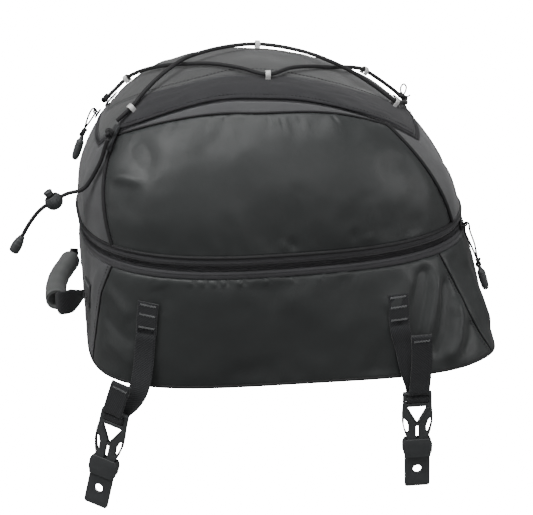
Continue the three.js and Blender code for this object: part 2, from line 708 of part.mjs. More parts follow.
// Ladder lock, V-shaped arms between open side rails, split stem and two prongs.
function maleGeometry() {
  const half = [
    [14.2, 7], [14.4, -8], [15.2, -16], [15.2, -26], [13.2, -36], [10.8, -43], [10.4, -56], [8.6, -59],
    [6.8, -57], [6.2, -47], [4.2, -47], [4.2, -56], [2.8, -58],
  ];
  const slots = [rectangle(-10.8, 1.8, 10.8, 4.4), rectangle(-10.8, -4.6, 10.8, -2)];
  const window = [[-10.2, -8.6], [0, -27], [10.2, -8.6]];
  const rail = [[10.8, -24], [8.8, -30], [8.9, -36.5], [10.2, -38], [12.2, -33], [13.6, -27], [13.4, -21]];
  const split = rectangle(-1.5, -45, 1.5, -30);
  const otherRail = rail.map(([x, y]) => [-x, y]).reverse();
  const holes = [...slots, window, rail, otherRail, split].map((hole) => plate(hole, 2 * MALE_THICK));
  return cut(plate(mirrored(half), MALE_THICK), ...holes);
}

// Socket half of the buckle, on a flat plate that bolts down.
function bracketGeometry() {
  const outline = mirrored([
    [12.6, -44], [BUCKLE_HALF, -49], [BUCKLE_HALF - 0.2, -58], [PLATE_HALF, -62], [PLATE_HALF, -96.5],
    [PLATE_HALF - 1.6, -98.5],
  ]);
  const through = 30;
  const pocket = plate(rectangle(-11.4, -60.5, 11.4, -30), POCKET_THICK);
  const bolt = plate(ring(BOLT_RADIUS, 16, 0, BOLT_Y), through);
  const shaves = [-1, 1].map((face) => (
    plate(rectangle(-20, -110, 20, -64), 20).translate(0, 0, face * (10 + PLATE_THICK / 2))
  ));
  return cut(plate(outline, BUCKLE_THICK), pocket, bolt, ...shaves);
}

function buildStraps() {
  for (const [side, strap] of Object.entries(STRAPS)) {
    const anchor = strapStations(strap, strap.anchor, ANCHOR_LIFT, false);
    const webbing = strapStations(strap, strap.webbing, STRAP_LIFT, true);
    add(`strap_${side}_anchor`, ribbon(anchor, WEBBING_THICK), WEBBING);
    add(`strap_${side}_webbing`, ribbon(webbing, WEBBING_THICK), WEBBING);
    add(`strap_${side}_tail`, ribbon(tailStations(strap), WEBBING_THICK), WEBBING);
    add(`buckle_${side}_male`, maleGeometry(), PLASTIC, buckleFrame(strap));
    add(`buckle_${side}_bracket`, bracketGeometry(), PLASTIC, buckleFrame(strap));
  }
}

buildLowerTier();
buildExpansionZipper();
addSlider('expansion', 66, BAND_Z, 36, 68);
buildUpperTier();
buildLid();
addSlider('lid', -102, LID_SIDE_Z, 17, 47);
buildLacing();
buildTail();
buildHandle();
buildStraps();

export default bag;
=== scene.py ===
"""Tail bag: the detailed visual model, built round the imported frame. Metres, +Z up, the front faces -Y."""
import json
import math

import bmesh
import bpy
import numpy as np
from mathutils import Matrix, Vector, noise

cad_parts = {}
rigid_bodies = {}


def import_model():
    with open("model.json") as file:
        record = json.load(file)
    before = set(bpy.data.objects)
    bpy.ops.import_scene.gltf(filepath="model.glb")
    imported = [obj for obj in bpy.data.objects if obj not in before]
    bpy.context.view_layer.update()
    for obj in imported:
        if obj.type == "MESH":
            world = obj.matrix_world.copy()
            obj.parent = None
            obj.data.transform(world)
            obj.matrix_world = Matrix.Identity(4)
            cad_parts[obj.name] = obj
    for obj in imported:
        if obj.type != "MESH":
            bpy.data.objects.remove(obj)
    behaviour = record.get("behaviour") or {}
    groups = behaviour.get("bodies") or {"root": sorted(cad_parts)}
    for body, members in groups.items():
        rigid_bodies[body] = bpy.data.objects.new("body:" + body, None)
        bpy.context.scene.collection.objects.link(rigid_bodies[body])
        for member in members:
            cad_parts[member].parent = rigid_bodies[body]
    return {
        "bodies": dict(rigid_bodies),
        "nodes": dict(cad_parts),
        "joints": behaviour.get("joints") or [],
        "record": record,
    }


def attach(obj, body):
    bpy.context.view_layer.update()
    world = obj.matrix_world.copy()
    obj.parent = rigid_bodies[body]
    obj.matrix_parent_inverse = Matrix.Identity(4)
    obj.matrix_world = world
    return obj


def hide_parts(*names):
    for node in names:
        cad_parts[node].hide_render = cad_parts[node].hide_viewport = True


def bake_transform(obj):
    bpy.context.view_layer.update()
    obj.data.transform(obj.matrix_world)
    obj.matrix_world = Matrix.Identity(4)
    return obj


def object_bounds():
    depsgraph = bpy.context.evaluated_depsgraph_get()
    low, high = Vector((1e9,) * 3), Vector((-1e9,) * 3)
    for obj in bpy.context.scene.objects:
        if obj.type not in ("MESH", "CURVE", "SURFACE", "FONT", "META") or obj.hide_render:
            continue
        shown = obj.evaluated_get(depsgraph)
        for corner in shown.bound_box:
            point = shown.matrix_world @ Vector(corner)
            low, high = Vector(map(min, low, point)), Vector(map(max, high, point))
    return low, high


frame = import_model()
CAD_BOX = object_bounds()

# ---------------------------------------------------------------- driving dimensions
# The bag's outline is a superellipse at every height, as in the CAD model.
# The outline at the base, at the expansion zipper and at the top: half-width, half-depths, squareness, shift
# of its middle along x, and twist in degrees. Lengths are in metres throughout.
BASE = {"width": 0.209, "front": 0.158, "rear": 0.150, "square": 4.0, "shift": 0.017, "twist": 3}
BAND = {"width": 0.194, "front": 0.150, "rear": 0.150, "square": 2.65, "shift": 0.0, "twist": 7}
CROWN = {"square": 3.0, "shift": -0.023, "twist": -8}
SHOULDER = {"width": 1.98, "front": 2.35, "rear": 1.83}  # how round the upper tier's profile is
BAND_Z = 0.122  # middle of the expansion zipper
CROWN_Z = 0.290
DOME = CROWN_Z - BAND_Z
BAND_HALF = 0.010
FABRIC = 0.0025
CORNER = 60  # angle of the seams beside the front panel
REAR_CORNER = 120
LID_SIDE_Z = 0.216  # the lid's zipper at the sides and the rear
LID_ARCH = 0.054  # how much higher it runs at the front
LID_ARCH_ANGLE = 70
ZIP_GAP = 0.0034  # from the lid zipper's middle line to the fabric on each side
SKIRT_WIDTH = 0.012
LENS_WIDTH = 0.008
ZIP_END = 150
METRES_PER_DEGREE = 0.0031
WEBBING_HALF = 0.010
WEBBING_THICK = 0.0017
BUNGEE_RADIUS = 0.002
UP = np.array([0.0, 0.0, 1.0])


# ---------------------------------------------------------------- the bag's outer surface
def section(z):
    """The outline's numbers at a height: blended up to the zipper, then drawn in towards the crown."""
    low = np.clip(z / BAND_Z, 0, 1)
    t = np.clip((z - BAND_Z) / DOME, 0, 1)
    values = {}
    for key, at_base in BASE.items():
        value = at_base + (BAND[key] - at_base) * low
        if key in SHOULDER:
            value = value * (1 - t ** SHOULDER[key]) ** (1 / SHOULDER[key])
        else:
            value = value + (CROWN[key] - BAND[key]) * t
        values[key] = value
    return values


def skin(angle, z):
    """Points on the outline. Angle 0 is the front and 90 the right side, in degrees."""
    angle, z = np.broadcast_arrays(np.asarray(angle, float), np.asarray(z, float))
    s = section(z)
    x, y = np.sin(np.radians(angle)), -np.cos(np.radians(angle))
    width = np.maximum(s["width"], 1e-9)
    depth = np.maximum(np.where(y < 0, s["front"], s["rear"]), 1e-9)
    reach = np.abs(x / width) ** s["square"] + np.abs(y / depth) ** s["square"]
    radius = reach ** (-1 / s["square"])
    cos, sin = np.cos(np.radians(s["twist"])), np.sin(np.radians(s["twist"]))
    return np.stack([(x * cos - y * sin) * radius + s["shift"], (x * sin + y * cos) * radius, z], -1)


def height_to_z(h):
    """Heights as a share: -1 is the base, 0 the expansion zipper and 1 the crown."""
    return np.where(h < 0, BAND_Z * (1 + h), BAND_Z + DOME * np.sin(np.clip(h, 0, 1) * math.pi / 2))


def z_to_height(z):
    z = np.asarray(z, float)
    return np.where(z < BAND_Z, z / BAND_Z - 1, np.arcsin(np.clip((z - BAND_Z) / DOME, 0, 1)) * 2 / math.pi)


def unit(v):
    return v / np.maximum(np.linalg.norm(v, axis=-1, keepdims=True), 1e-12)


def normal(angle, z):
    """Outward directions, straight up near the crown, where the outline shrinks to a point."""
    angle, z = np.broadcast_arrays(np.asarray(angle, float), np.asarray(z, float))
    h = z_to_height(z)
    around = skin(angle + 0.5, z) - skin(angle - 0.5, z)
    up = skin(angle, height_to_z(np.minimum(h + 0.004, 1))) - skin(angle, height_to_z(h - 0.004))
    out = unit(np.cross(around, up))
    return np.where((h > 0.985)[..., None], UP, out)


def proud(angle, z, lift):
    """Points standing proud of the surface; a negative lift is inside it."""
    return skin(angle, z) + normal(angle, z) * np.asarray(lift, float)[..., None]


def from_front(angle):
    angle = np.asarray(angle, float)
    return np.abs(np.where(angle > 180, 360 - angle, angle))


def arch(angle, reach):
    """Falls away gently to the left and stays high to the right."""
    angle = np.asarray(angle, float)
    power = np.where((angle > 0) & (angle < 180), 4.0, 2.5)
    return 1 - np.minimum(from_front(angle) / reach, 1) ** power


def opening_z(angle):
    return LID_SIDE_Z + LID_ARCH * arch(angle, LID_ARCH_ANGLE)


def skirt_top_z(angle):
    return LID_SIDE_Z + SKIRT_WIDTH + LID_ARCH * arch(angle, 90)


def lens_low_z(angle):
    return opening_z(angle) - 0.0036 - LENS_WIDTH * (1 - (np.asarray(angle, float) / CORNER) ** 2)


def left_seam(z):
    """Angle of the seam between the lower front panel and the left one; it slants outward to the base."""
    return np.interp(z, [0.0, 0.036, 0.080, 0.112], [-68.5, -66.5, -65.0, -61.5])


def right_seam(z):
    return np.interp(z, [0.0, 0.008, 0.048, 0.088, 0.112], [59.5, 59.0, 55.0, 52.0, 50.0])


def angle_at_x(x, z):
    low, high = -80.0, 80.0
    for _ in range(40):
        middle = (low + high) / 2
        low, high = (middle, high) if skin(middle, z)[0] < x else (low, middle)
    return low


def surface_frame(angle, z, lift):
    """4x4 array: X along the outline, Y up the surface, Z outward."""
    out = normal(angle, z)
    along = unit(skin(angle + 0.5, z) - skin(angle - 0.5, z))
    matrix = np.eye(4)
    matrix[:3, 0], matrix[:3, 1], matrix[:3, 2] = along, np.cross(out, along), out
    matrix[:3, 3] = proud(angle, z, lift)
    return matrix


def transformed(points, matrix):
    return np.asarray(points, float) @ matrix[:3, :3].T + matrix[:3, 3]


# ---------------------------------------------------------------- curves
def smooth_curve(points, spacing):
    """A centripetal Catmull-Rom curve through the points, resampled evenly."""
    p = np.asarray(points, float)
    p = np.vstack([2 * p[0] - p[1], p, 2 * p[-1] - p[-2]])
    samples = []
    for i in range(1, len(p) - 2):
        p0, p1, p2, p3 = p[i - 1 : i + 3]
        d0, d1, d2 = (max(np.linalg.norm(b - a), 1e-9) ** 0.5 for a, b in ((p0, p1), (p1, p2), (p2, p3)))
        m1 = ((p1 - p0) / d0 - (p2 - p0) / (d0 + d1) + (p2 - p1) / d1) * d1
        m2 = ((p2 - p1) / d1 - (p3 - p1) / (d1 + d2) + (p3 - p2) / d2) * d1
        t = np.linspace(0, 1, 24, endpoint=False)[:, None]
        samples.append(
            (2 * t**3 - 3 * t**2 + 1) * p1
            + (t**3 - 2 * t**2 + t) * m1
            + (3 * t**2 - 2 * t**3) * p2
            + (t**3 - t**2) * m2
        )
    samples.append(p[-2][None])
    return resampled(np.vstack(samples), spacing)


def arc_length(points):
    return np.concatenate([[0], np.cumsum(np.linalg.norm(np.diff(points, axis=0), axis=1))])


def resampled(points, spacing):
    length = arc_length(points)
    count = max(int(round(length[-1] / spacing)), 2)
    at = np.linspace(0, length[-1], count + 1)
    return np.stack([np.interp(at, length, points[:, k]) for k in range(points.shape[1])], -1)


def tangents(points):
    return unit(np.gradient(points, axis=0))


def transport_frames(points):
    """Side and up vectors that don't twist along a path."""
    along = tangents(points)
    side = np.cross(along[0], UP)
    if np.linalg.norm(side) < 1e-6:
        side = np.cross(along[0], [1, 0, 0])
    sides = [unit(side)]
    for t in along[1:]:
        s = sides[-1] - t * (sides[-1] @ t)
        sides.append(unit(s))
    sides = np.array(sides)
    return along, sides, np.cross(along, sides)


# ---------------------------------------------------------------- meshes
def new_object(name, points, faces, material, uv=None, wear=None):
    mesh = bpy.data.meshes.new(name)
    mesh.from_pydata(np.asarray(points, float).tolist(), [], faces)
    mesh.polygons.foreach_set("use_smooth", [True] * len(mesh.polygons))
    if uv is not None:
        layer = mesh.uv_layers.new(name="UVMap")
        loops = np.zeros(len(mesh.loops), np.int32)
        mesh.loops.foreach_get("vertex_index", loops)
        layer.data.foreach_set("uv", np.asarray(uv, np.float32)[loops].ravel())
    if wear is not None:
        attribute = mesh.attributes.new("wear", "FLOAT", "POINT")
        attribute.data.foreach_set("value", np.asarray(wear, np.float32).ravel())
    mesh.materials.append(material)
    piece = bpy.data.objects.new(name, mesh)
    bpy.context.scene.collection.objects.link(piece)
    return piece


def weld(mesh):
    """Merges doubled points and turns all faces outward."""
    edit = bmesh.new()
    edit.from_mesh(mesh)
    bmesh.ops.remove_doubles(edit, verts=edit.verts, dist=1e-6)
    bmesh.ops.recalc_face_normals(edit, faces=edit.faces)
    edit.to_mesh(mesh)
    edit.free()


def sharp_by_angle(piece, degrees):
    """Shades smooth, but keeps creases sharper than the angle."""
    edit = bmesh.new()
    edit.from_mesh(piece.data)
    limit = math.radians(degrees)
    for edge in edit.edges:
        if len(edge.link_faces) == 2 and edge.calc_face_angle(0) > limit:
            edge.smooth = False
    edit.to_mesh(piece.data)
    edit.free()
    return piece


def finished(piece, body, slot, *nodes):
    """Rides a body and stands for CAD nodes; the slot argument is not used."""
    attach(piece, body)
    if nodes:
        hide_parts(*nodes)
    return piece


def blended(piece, nodes):
    """Hides the CAD nodes it stands for and bakes the piece's place into its mesh; it rides no body."""
    if nodes:
        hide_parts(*nodes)
    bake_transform(piece)


def grid_faces(rows, columns, offset=0, flip=False, wrap=False):
    faces = []
    for i in range(rows if wrap else rows - 1):
        for j in range(columns - 1):
            a = offset + i * columns + j
            b = offset + (i + 1) % rows * columns + j
            face = (a, b, b + 1, a + 1)
            faces.append(face[::-1] if flip else face)
    return faces


def swept(path, section_points, material, name, frames=None, scale=None, closed=False):
    """Sweeps a closed section (x on side, y on up) along a path, with flat caps."""
    path = np.asarray(path, float)
    _, side, up = frames if frames is not None else transport_frames(path)
    section_points = np.asarray(section_points, float)
    if section_points.ndim == 2:
        section_points = np.broadcast_to(section_points, (len(path), *section_points.shape))
    scale = np.ones(len(path)) if scale is None else np.asarray(scale, float)
    x, y = section_points[..., 0] * scale[:, None], section_points[..., 1] * scale[:, None]
    points = path[:, None] + side[:, None] * x[..., None] + up[:, None] * y[..., None]
    count, sides = points.shape[:2]
    faces = []
    for i in range(count if closed else count - 1):
        for j in range(sides):
            k, n = (j + 1) % sides, (i + 1) % count
            faces.append((i * sides + j, i * sides + k, n * sides + k, n * sides + j))
    if not closed:
        faces.append(tuple(range(sides))[::-1])
        faces.append(tuple((count - 1) * sides + j for j in range(sides)))
    run = arc_length(path)
    uv = np.stack(np.broadcast_arrays(run[:, None], np.linspace(0, 1, sides)[None]), -1).reshape(-1, 2)
    return new_object(name, points.reshape(-1, 3), faces, material, uv=uv)


def ring_section(radius, sides):
    a = np.arange(sides) / sides * 2 * math.pi
    return np.stack([np.cos(a), np.sin(a)], -1) * radius


def round_cord(path, radius, material, name, sides=12, braid=0.0, pitch=0.006, closed=False):
    """A cord whose round section carries the diamond relief of a braided sheath."""
    a = np.arange(sides) / sides * 2 * math.pi
    run = arc_length(path)[:, None] / pitch * 2 * math.pi
    relief = radius + braid * np.sin(3 * a[None] + run) * np.sin(3 * a[None] - run)
    section_points = np.stack([np.cos(a)[None] * relief, np.sin(a)[None] * relief], -1)
    return swept(path, section_points, material, name, closed=closed)


def lathe(profile, material, name, matrix, sides=40):
    """A turned piece: profile pairs are radius and height along the local Z axis."""
    profile = smooth_profile(profile)
    a = np.arange(sides) / sides * 2 * math.pi
    points = np.stack(
        [
            np.cos(a)[:, None] * profile[None, :, 0],
            np.sin(a)[:, None] * profile[None, :, 0],
            np.broadcast_to(profile[None, :, 1], (sides, len(profile))),
        ],
        -1,
    )
    faces = grid_faces(sides, len(profile), wrap=True)
    piece = new_object(name, transformed(points.reshape(-1, 3), matrix), faces, material)
    weld(piece.data)
    return sharp_by_angle(piece, 50)


def smooth_profile(profile):
    """Rounds a profile's corners a little by cutting them twice."""
    p = np.asarray(profile, float)
    for _ in range(2):
        inner = [p[0]]
        for a, b in zip(p[:-1], p[1:]):
            inner += [a * 0.78 + b * 0.22, a * 0.22 + b * 0.78]
        inner.append(p[-1])
        p = np.array(inner)
    p[0, 0] = p[-1, 0] = 0 if profile[0][0] == 0 else p[0, 0]
    return p


def joined(name, pieces):
    """Joins pieces that lie on one body into one mesh."""
    with bpy.context.temp_override(active_object=pieces[0], selected_editable_objects=pieces):
        bpy.ops.object.join()
    pieces[0].name = name
    return pieces[0]


# ---------------------------------------------------------------- relief of slack fabric
def perlin(points, size, seed):
    flat = (points.reshape(-1, 3) / size + seed * 17.31).tolist()
    values = np.array([noise.noise(p) for p in flat])
    return values.reshape(points.shape[:-1])


def ease(x):
    x = np.clip(x, 0, 1)
    return x * x * (3 - 2 * x)


def fold(points, stops, width, depth, fade=0.25):
    """A soft ridge (or a valley, if depth is negative) along stops of (angle, z) on the surface."""
    line = np.array([skin(a, z) for a, z in stops])
    run = arc_length(line)
    best = np.full(points.shape[:-1], 1e9)
    where = np.zeros(points.shape[:-1])
    for k in range(len(line) - 1):
        span = line[k + 1] - line[k]
        t = np.clip((points - line[k]) @ span / (span @ span), 0, 1)
        distance = np.linalg.norm(points - line[k] - t[..., None] * span, axis=-1)
        nearer = distance < best
        best = np.where(nearer, distance, best)
        where = np.where(nearer, (run[k] + t * (run[k + 1] - run[k])) / run[-1], where)
    ends = ease(where / fade) * ease((1 - where) / fade) if fade else 1
    return depth * np.exp(-((best / width) ** 2)) * ends


def slackness(points, seed, large=0.0012, small=0.0004):
    return large * perlin(points, 0.055, seed) + small * perlin(points, 0.018, seed + 5)


# Lines down the front that the straps lie on, from (x, z) to (x, z).
STRAP_LINES = [((0.115, 0.090), (0.130, 0.0)), ((-0.126, 0.092), (-0.140, 0.0))]
STRAP_FADE = 0.030


def clear_of_straps(points):
    """0 where a strap is sewn to the cloth or lies on it, rising to 1 away from it."""
    clear = np.ones(points.shape[:-1])
    flat = points[..., [0, 2]]
    for start, end in STRAP_LINES:
        a, b = np.array(start), np.array(end)
        t = np.clip((flat - a) @ (b - a) / ((b - a) @ (b - a)), 0, 1)
        away = np.linalg.norm(flat - a - t[..., None] * (b - a), axis=-1)
        clear *= np.where(points[..., 1] < 0, ease((away - WEBBING_HALF) / STRAP_FADE), 1)
    return clear


# The trial cloth: the most rows and columns it is cut to, frames simulated, and passes that smooth its shape.
CLOTH_ROWS = 58
CLOTH_COLUMNS = 34
CLOTH_FRAMES = 20
SMOOTHING_PASSES = 10
CLOTH = {
    "quality": 5,
    "mass": 0.25,
    "tension_stiffness": 25,
    "compression_stiffness": 25,
    "shear_stiffness": 8,
    "bending_stiffness": 0.35,
    "use_pressure": True,
    "vertex_group_mass": "pins",
}


def simulated(grid, slack, pressure):
    """Where a grid of cloth with pinned edges comes to rest, in still air without gravity."""
    count, levels = grid.shape[:2]
    faces = grid_faces(count, levels, 0, False, False)
    sheet = new_object("cloth_trial", grid.reshape(-1, 3), faces, MAT["lining"])
    pins = sheet.vertex_groups.new(name="pins")
    index = np.arange(count * levels).reshape(count, levels)
    border = np.unique(np.concatenate([index[0], index[-1], index[:, 0], index[:, -1]]))
    pins.add(border.tolist(), 1.0, "REPLACE")
    cloth = sheet.modifiers.new("cloth", "CLOTH")
    for key, value in CLOTH.items():
        setattr(cloth.settings, key, value)
    cloth.settings.shrink_min = -slack
    cloth.settings.uniform_pressure_force = pressure
    cloth.settings.effector_weights.gravity = 0
    scene = bpy.context.scene
    for step in range(1, CLOTH_FRAMES + 1):
        scene.frame_set(step)
    settled = sheet.evaluated_get(bpy.context.evaluated_depsgraph_get())
    points = np.zeros(count * levels * 3)
    settled.data.vertices.foreach_get("co", points)
    scene.frame_set(1)
    bpy.data.objects.remove(sheet, do_unlink=True)
    return points.reshape(count, levels, 3)


SEAM_INSET = 0.12  # degrees left free at an upright seam


class Panel:
    """A closed fabric shell between two angles and two heights, with rolled seam edges."""

    def __init__(self, name, start, end, low, high, pitch=0.0024, inset=SEAM_INSET, lean=(None, None)):
        self.name = name
        self.closed = end - start >= 360
        columns = max(int((end - start) * METRES_PER_DEGREE / pitch), 4)
        shift = 0 if self.closed else inset
        angles = np.linspace(start + shift, end - shift, columns + 1)
        if self.closed:
            angles = angles[:-1]
        bottom = self.height_along(angles, low)
        top = np.ones(len(angles)) if high == "crown" else self.height_along(angles, high)
        reach = skin(angles, height_to_z(top)) - skin(angles, height_to_z(bottom))
        tall = np.linalg.norm(reach, axis=-1).max()
        rows = max(int(tall * 1.08 / pitch), 3)
        share = np.linspace(0, 1, rows + 1)
        if high == "crown":
            share = share[:-1]
        h = bottom[:, None] + (top - bottom)[:, None] * share[None]
        self.crowned = high == "crown"
        self.z = height_to_z(h)
        self.angle = np.array(np.broadcast_to(angles[:, None], h.shape))
        along_row = np.linspace(0, 1, len(angles))[:, None]
        for edge, seam, weight in ((start, lean[0], 1 - along_row), (end, lean[1], along_row)):
            if seam:
                self.angle += (seam(self.z) - edge) * weight
        self.base = skin(self.angle, self.z)
        self.normal = normal(self.angle, self.z)
        along = np.linalg.norm(np.diff(self.base, axis=0), axis=-1)
        across = np.linalg.norm(np.diff(self.base, axis=1), axis=-1)
        self.u = np.vstack([np.zeros(h.shape[1]), np.cumsum(along, axis=0)])
        self.v = np.hstack([np.zeros((len(angles), 1)), np.cumsum(across, axis=1)])
        self.from_low = self.v
        self.from_high = np.full(h.shape, 9.0) if self.crowned else self.v[:, -1:] - self.v
        self.from_start = np.full(h.shape, 9.0) if self.closed else self.u
        self.from_end = np.full(h.shape, 9.0) if self.closed else self.u[-1:] - self.u
        self.edge = np.minimum.reduce([self.from_low, self.from_high, self.from_start, self.from_end])
        self.lift = np.zeros(h.shape)

    @staticmethod
    def height_along(angles, edge):
        """An edge's share of the skin's height at each angle: the edge is one z, or a function."""
        return z_to_height(edge(angles) if callable(edge) else np.full(len(angles), edge))

    def puckers(self, seed, depth=0.0007, reach=0.010, step=0.009):
        """Short gathers that run away from the seams."""
        run_u = np.stack([self.u / step, self.from_low * 0 + 3.3, self.v * 0], -1)
        run_v = np.stack([self.v / step, self.from_low * 0 + 7.7, self.v * 0], -1)
        wave_u = perlin(run_u, 1.0, seed) + 0.5 * perlin(run_u * 2.1, 1.0, seed + 1)
        wave_v = perlin(run_v, 1.0, seed + 2)
        near_ends = np.exp(-np.minimum(self.from_low, self.from_high) / reach)
        near_sides = np.exp(-np.minimum(self.from_start, self.from_end) / reach)
        self.lift = self.lift + depth * (wave_u * near_ends + 0.8 * wave_v * near_sides)
        return self

    def slack(self, seed, **sizes):
        self.lift = self.lift + slackness(self.base, seed, **sizes) * ease(self.edge / 0.012)
        return self

    def add_fold(self, stops, width, depth, fade=0.25):
        self.lift = self.lift + fold(self.base, stops, width, depth, fade)
        return self

    def raised(self, amount):
        self.lift = self.lift + amount
        return self

    def settled(self, slack=0.016, pressure=0.4, share=0.5, cap=0.003):
        """Lets a coarse copy of the cloth settle, held by its seams, and adds a share of its shape."""
        count, levels = self.z.shape
        rows = np.unique(np.round(np.linspace(0, count - 1, min(count, CLOTH_ROWS))).astype(int))
        columns = np.unique(np.round(np.linspace(0, levels - 1, min(levels, CLOTH_COLUMNS))).astype(int))
        start = self.base + self.normal * self.lift[..., None]
        coarse = start[np.ix_(rows, columns)]
        cloth = simulated(coarse, slack, pressure)
        out = self.normal[np.ix_(rows, columns)]
        moved = np.clip(np.sum((cloth - coarse) * out, axis=-1), -cap, cap)
        finer = np.array([np.interp(np.arange(levels), columns, row) for row in moved])
        finer = np.array([np.interp(np.arange(count), rows, column) for column in finer.T]).T
        for _ in range(SMOOTHING_PASSES):
            padded = np.pad(finer, 1, mode="edge")
            beside = padded[:-2, 1:-1] + padded[2:, 1:-1] + padded[1:-1, :-2] + padded[1:-1, 2:]
            finer = (beside + 2 * finer) / 6
        self.lift = self.lift + share * finer * clear_of_straps(self.base)
        return self

    def build(self, material, body, slot, nodes=(), outer=0.0, inner=-FABRIC, roll=0.0030, drop=0.0013):
        """Makes an outer face, an inner face and the turned-in edges. Without a body it rides none yet."""
        tucked = drop * (1 - ease(self.edge / roll)) ** 1.5
        lift = np.maximum(outer + self.lift - tucked, inner + 0.0005)
        outside = self.base + self.normal * lift[..., None]
        inside = self.base + self.normal * inner
        count, levels = self.z.shape
        layer = count * levels
        points = np.vstack([outside.reshape(-1, 3), inside.reshape(-1, 3)])
        faces = grid_faces(count, levels, 0, False, self.closed)
        faces += grid_faces(count, levels, layer, True, self.closed)
        spans = count if self.closed else count - 1
        for i in range(spans):
            a, b = i * levels, (i + 1) % count * levels
            faces.append((a, a + layer, b + layer, b))
            if not self.crowned:
                top = levels - 1
                faces.append((a + top, b + top, b + top + layer, a + top + layer))
        if not self.closed:
            last = (count - 1) * levels
            for j in range(levels - 1):
                faces.append((j, j + 1, j + 1 + layer, j + layer))
                faces.append((last + j, last + j + layer, last + j + 1 + layer, last + j + 1))
        uv = np.stack([self.u, self.v], -1).reshape(-1, 2)
        uv = np.vstack([uv, uv])
        wear = np.exp(-self.edge / 0.0022).ravel()
        wear = np.concatenate([wear, wear])
        if self.crowned:
            apex = np.array([[*skin(0, CROWN_Z)]])
            mean_lift = lift[:, -1].mean()
            points = np.vstack([points, apex + UP * mean_lift, apex + UP * inner])
            uv = np.vstack([uv, uv[:1], uv[:1]])
            wear = np.append(wear, [0, 0])
            for i in range(spans):
                a, b = i * levels + levels - 1, (i + 1) % count * levels + levels - 1
                faces.append((a, b, 2 * layer))
                faces.append((b + layer, a + layer, 2 * layer + 1))
        piece = new_object(self.name, points, faces, material, uv=uv, wear=wear)
        sharp_by_angle(piece, 60)
        return finished(piece, body, slot, *nodes) if body else piece


# ---------------------------------------------------------------- materials
class Shader:
    """A Principled material with a few node helpers."""

    def __init__(self, name, color, roughness, **sockets):
        self.material = bpy.data.materials.new(name)
        self.material.use_nodes = True
        self.tree = self.material.node_tree
        self.bsdf = self.tree.nodes["Principled BSDF"]
        self.bsdf.inputs["Base Color"].default_value = (*color, 1)
        self.bsdf.inputs["Roughness"].default_value = roughness
        for key, value in sockets.items():
            self.bsdf.inputs[key.replace("_", " ")].default_value = value
        self.color, self.roughness = color, roughness
        self.coordinates = self.tree.nodes.new("ShaderNodeTexCoord")

    def node(self, kind, inputs=None, **settings):
        made = self.tree.nodes.new(kind)
        for key, value in settings.items():
            setattr(made, key, value)
        for key, value in (inputs or {}).items():
            socket = made.inputs[key]
            if isinstance(value, bpy.types.NodeSocket):
                self.tree.links.new(value, socket)
            else:
                socket.default_value = value
        return made

    def math(self, operation, a, b=0.0, clamp=False):
        return self.node("ShaderNodeMath", {0: a, 1: b}, operation=operation, use_clamp=clamp).outputs[0]

    def noise(self, scale, detail=3.0, roughness=0.55, stretch=None):
        vector = self.coordinates.outputs["Object"]
        if stretch:
            vector = self.node("ShaderNodeMapping", {"Vector": vector, "Scale": stretch}).outputs[0]
        sockets = {"Vector": vector, "Scale": scale, "Detail": detail, "Roughness": roughness}
        return self.node("ShaderNodeTexNoise", sockets).outputs["Fac"]

    def thread_waves(self, pitch_u, pitch_v):
        """Sine waves along the two directions of the cloth, from its own UV in metres."""
        parts = self.node("ShaderNodeSeparateXYZ", {0: self.coordinates.outputs["UV"]}).outputs
        u = self.math("SINE", self.math("MULTIPLY", parts[0], 2 * math.pi / pitch_u))
        v = self.math("SINE", self.math("MULTIPLY", parts[1], 2 * math.pi / pitch_v))
        return u, v

    def weave(self, pitch):
        u, v = self.thread_waves(pitch, pitch)
        return self.math("ADD", self.math("MULTIPLY", self.math("MULTIPLY", u, v), 0.5), 0.5)

    def scaled(self, value, low, high):
        return self.node(
            "ShaderNodeMapRange", {"Value": value, "To Min": low, "To Max": high}
        ).outputs["Result"]

    def tinted(self, factor, low, high, wear=None, wear_color=None):
        """Base colour varied between low and high times its value, and lighter where it is worn."""
        darker = tuple(c * low for c in self.color)
        lighter = tuple(min(c * high, 1) for c in self.color)
        mix = self.node(
            "ShaderNodeMix", {0: factor, 6: (*darker, 1), 7: (*lighter, 1)}, data_type="RGBA"
        )
        color = mix.outputs[2]
        if wear_color:
            mask = self.node("ShaderNodeAttribute", attribute_name="wear").outputs["Fac"]
            mask = self.math("MULTIPLY", mask, wear, clamp=True)
            color = self.node(
                "ShaderNodeMix", {0: mask, 6: color, 7: (*wear_color, 1)}, data_type="RGBA"
            ).outputs[2]
        self.tree.links.new(color, self.bsdf.inputs["Base Color"])
        return self

    def rough(self, factor, low, high):
        self.tree.links.new(self.scaled(factor, low, high), self.bsdf.inputs["Roughness"])
        return self

    def bump(self, height, distance, strength=1.0, under=None):
        sockets = {"Height": height, "Distance": distance, "Strength": strength}
        if under is not None:
            sockets["Normal"] = under
        made = self.node("ShaderNodeBump", sockets).outputs["Normal"]
        self.tree.links.new(made, self.bsdf.inputs["Normal"])
        return made


def laminate_material():
    """Satin coated fabric: a soft sheen over a faint weave, with handling marks."""
    s = Shader("laminate", (0.030, 0.033, 0.033), 0.45, Specular_IOR_Level=0.55, Sheen_Weight=0.08)
    clouds = s.noise(14, 4)
    fine = s.noise(520, 2, 0.7)
    s.tinted(s.math("ADD", s.math("MULTIPLY", clouds, 0.7), s.math("MULTIPLY", fine, 0.3)), 0.82, 1.2,
             s.math("MULTIPLY", s.noise(160), 0.5), (0.10, 0.11, 0.11))
    s.rough(clouds, 0.40, 0.52)
    first = s.bump(s.weave(0.0009), 0.00005, 0.55)
    s.bump(fine, 0.0001, 0.35, first)
    return s.material


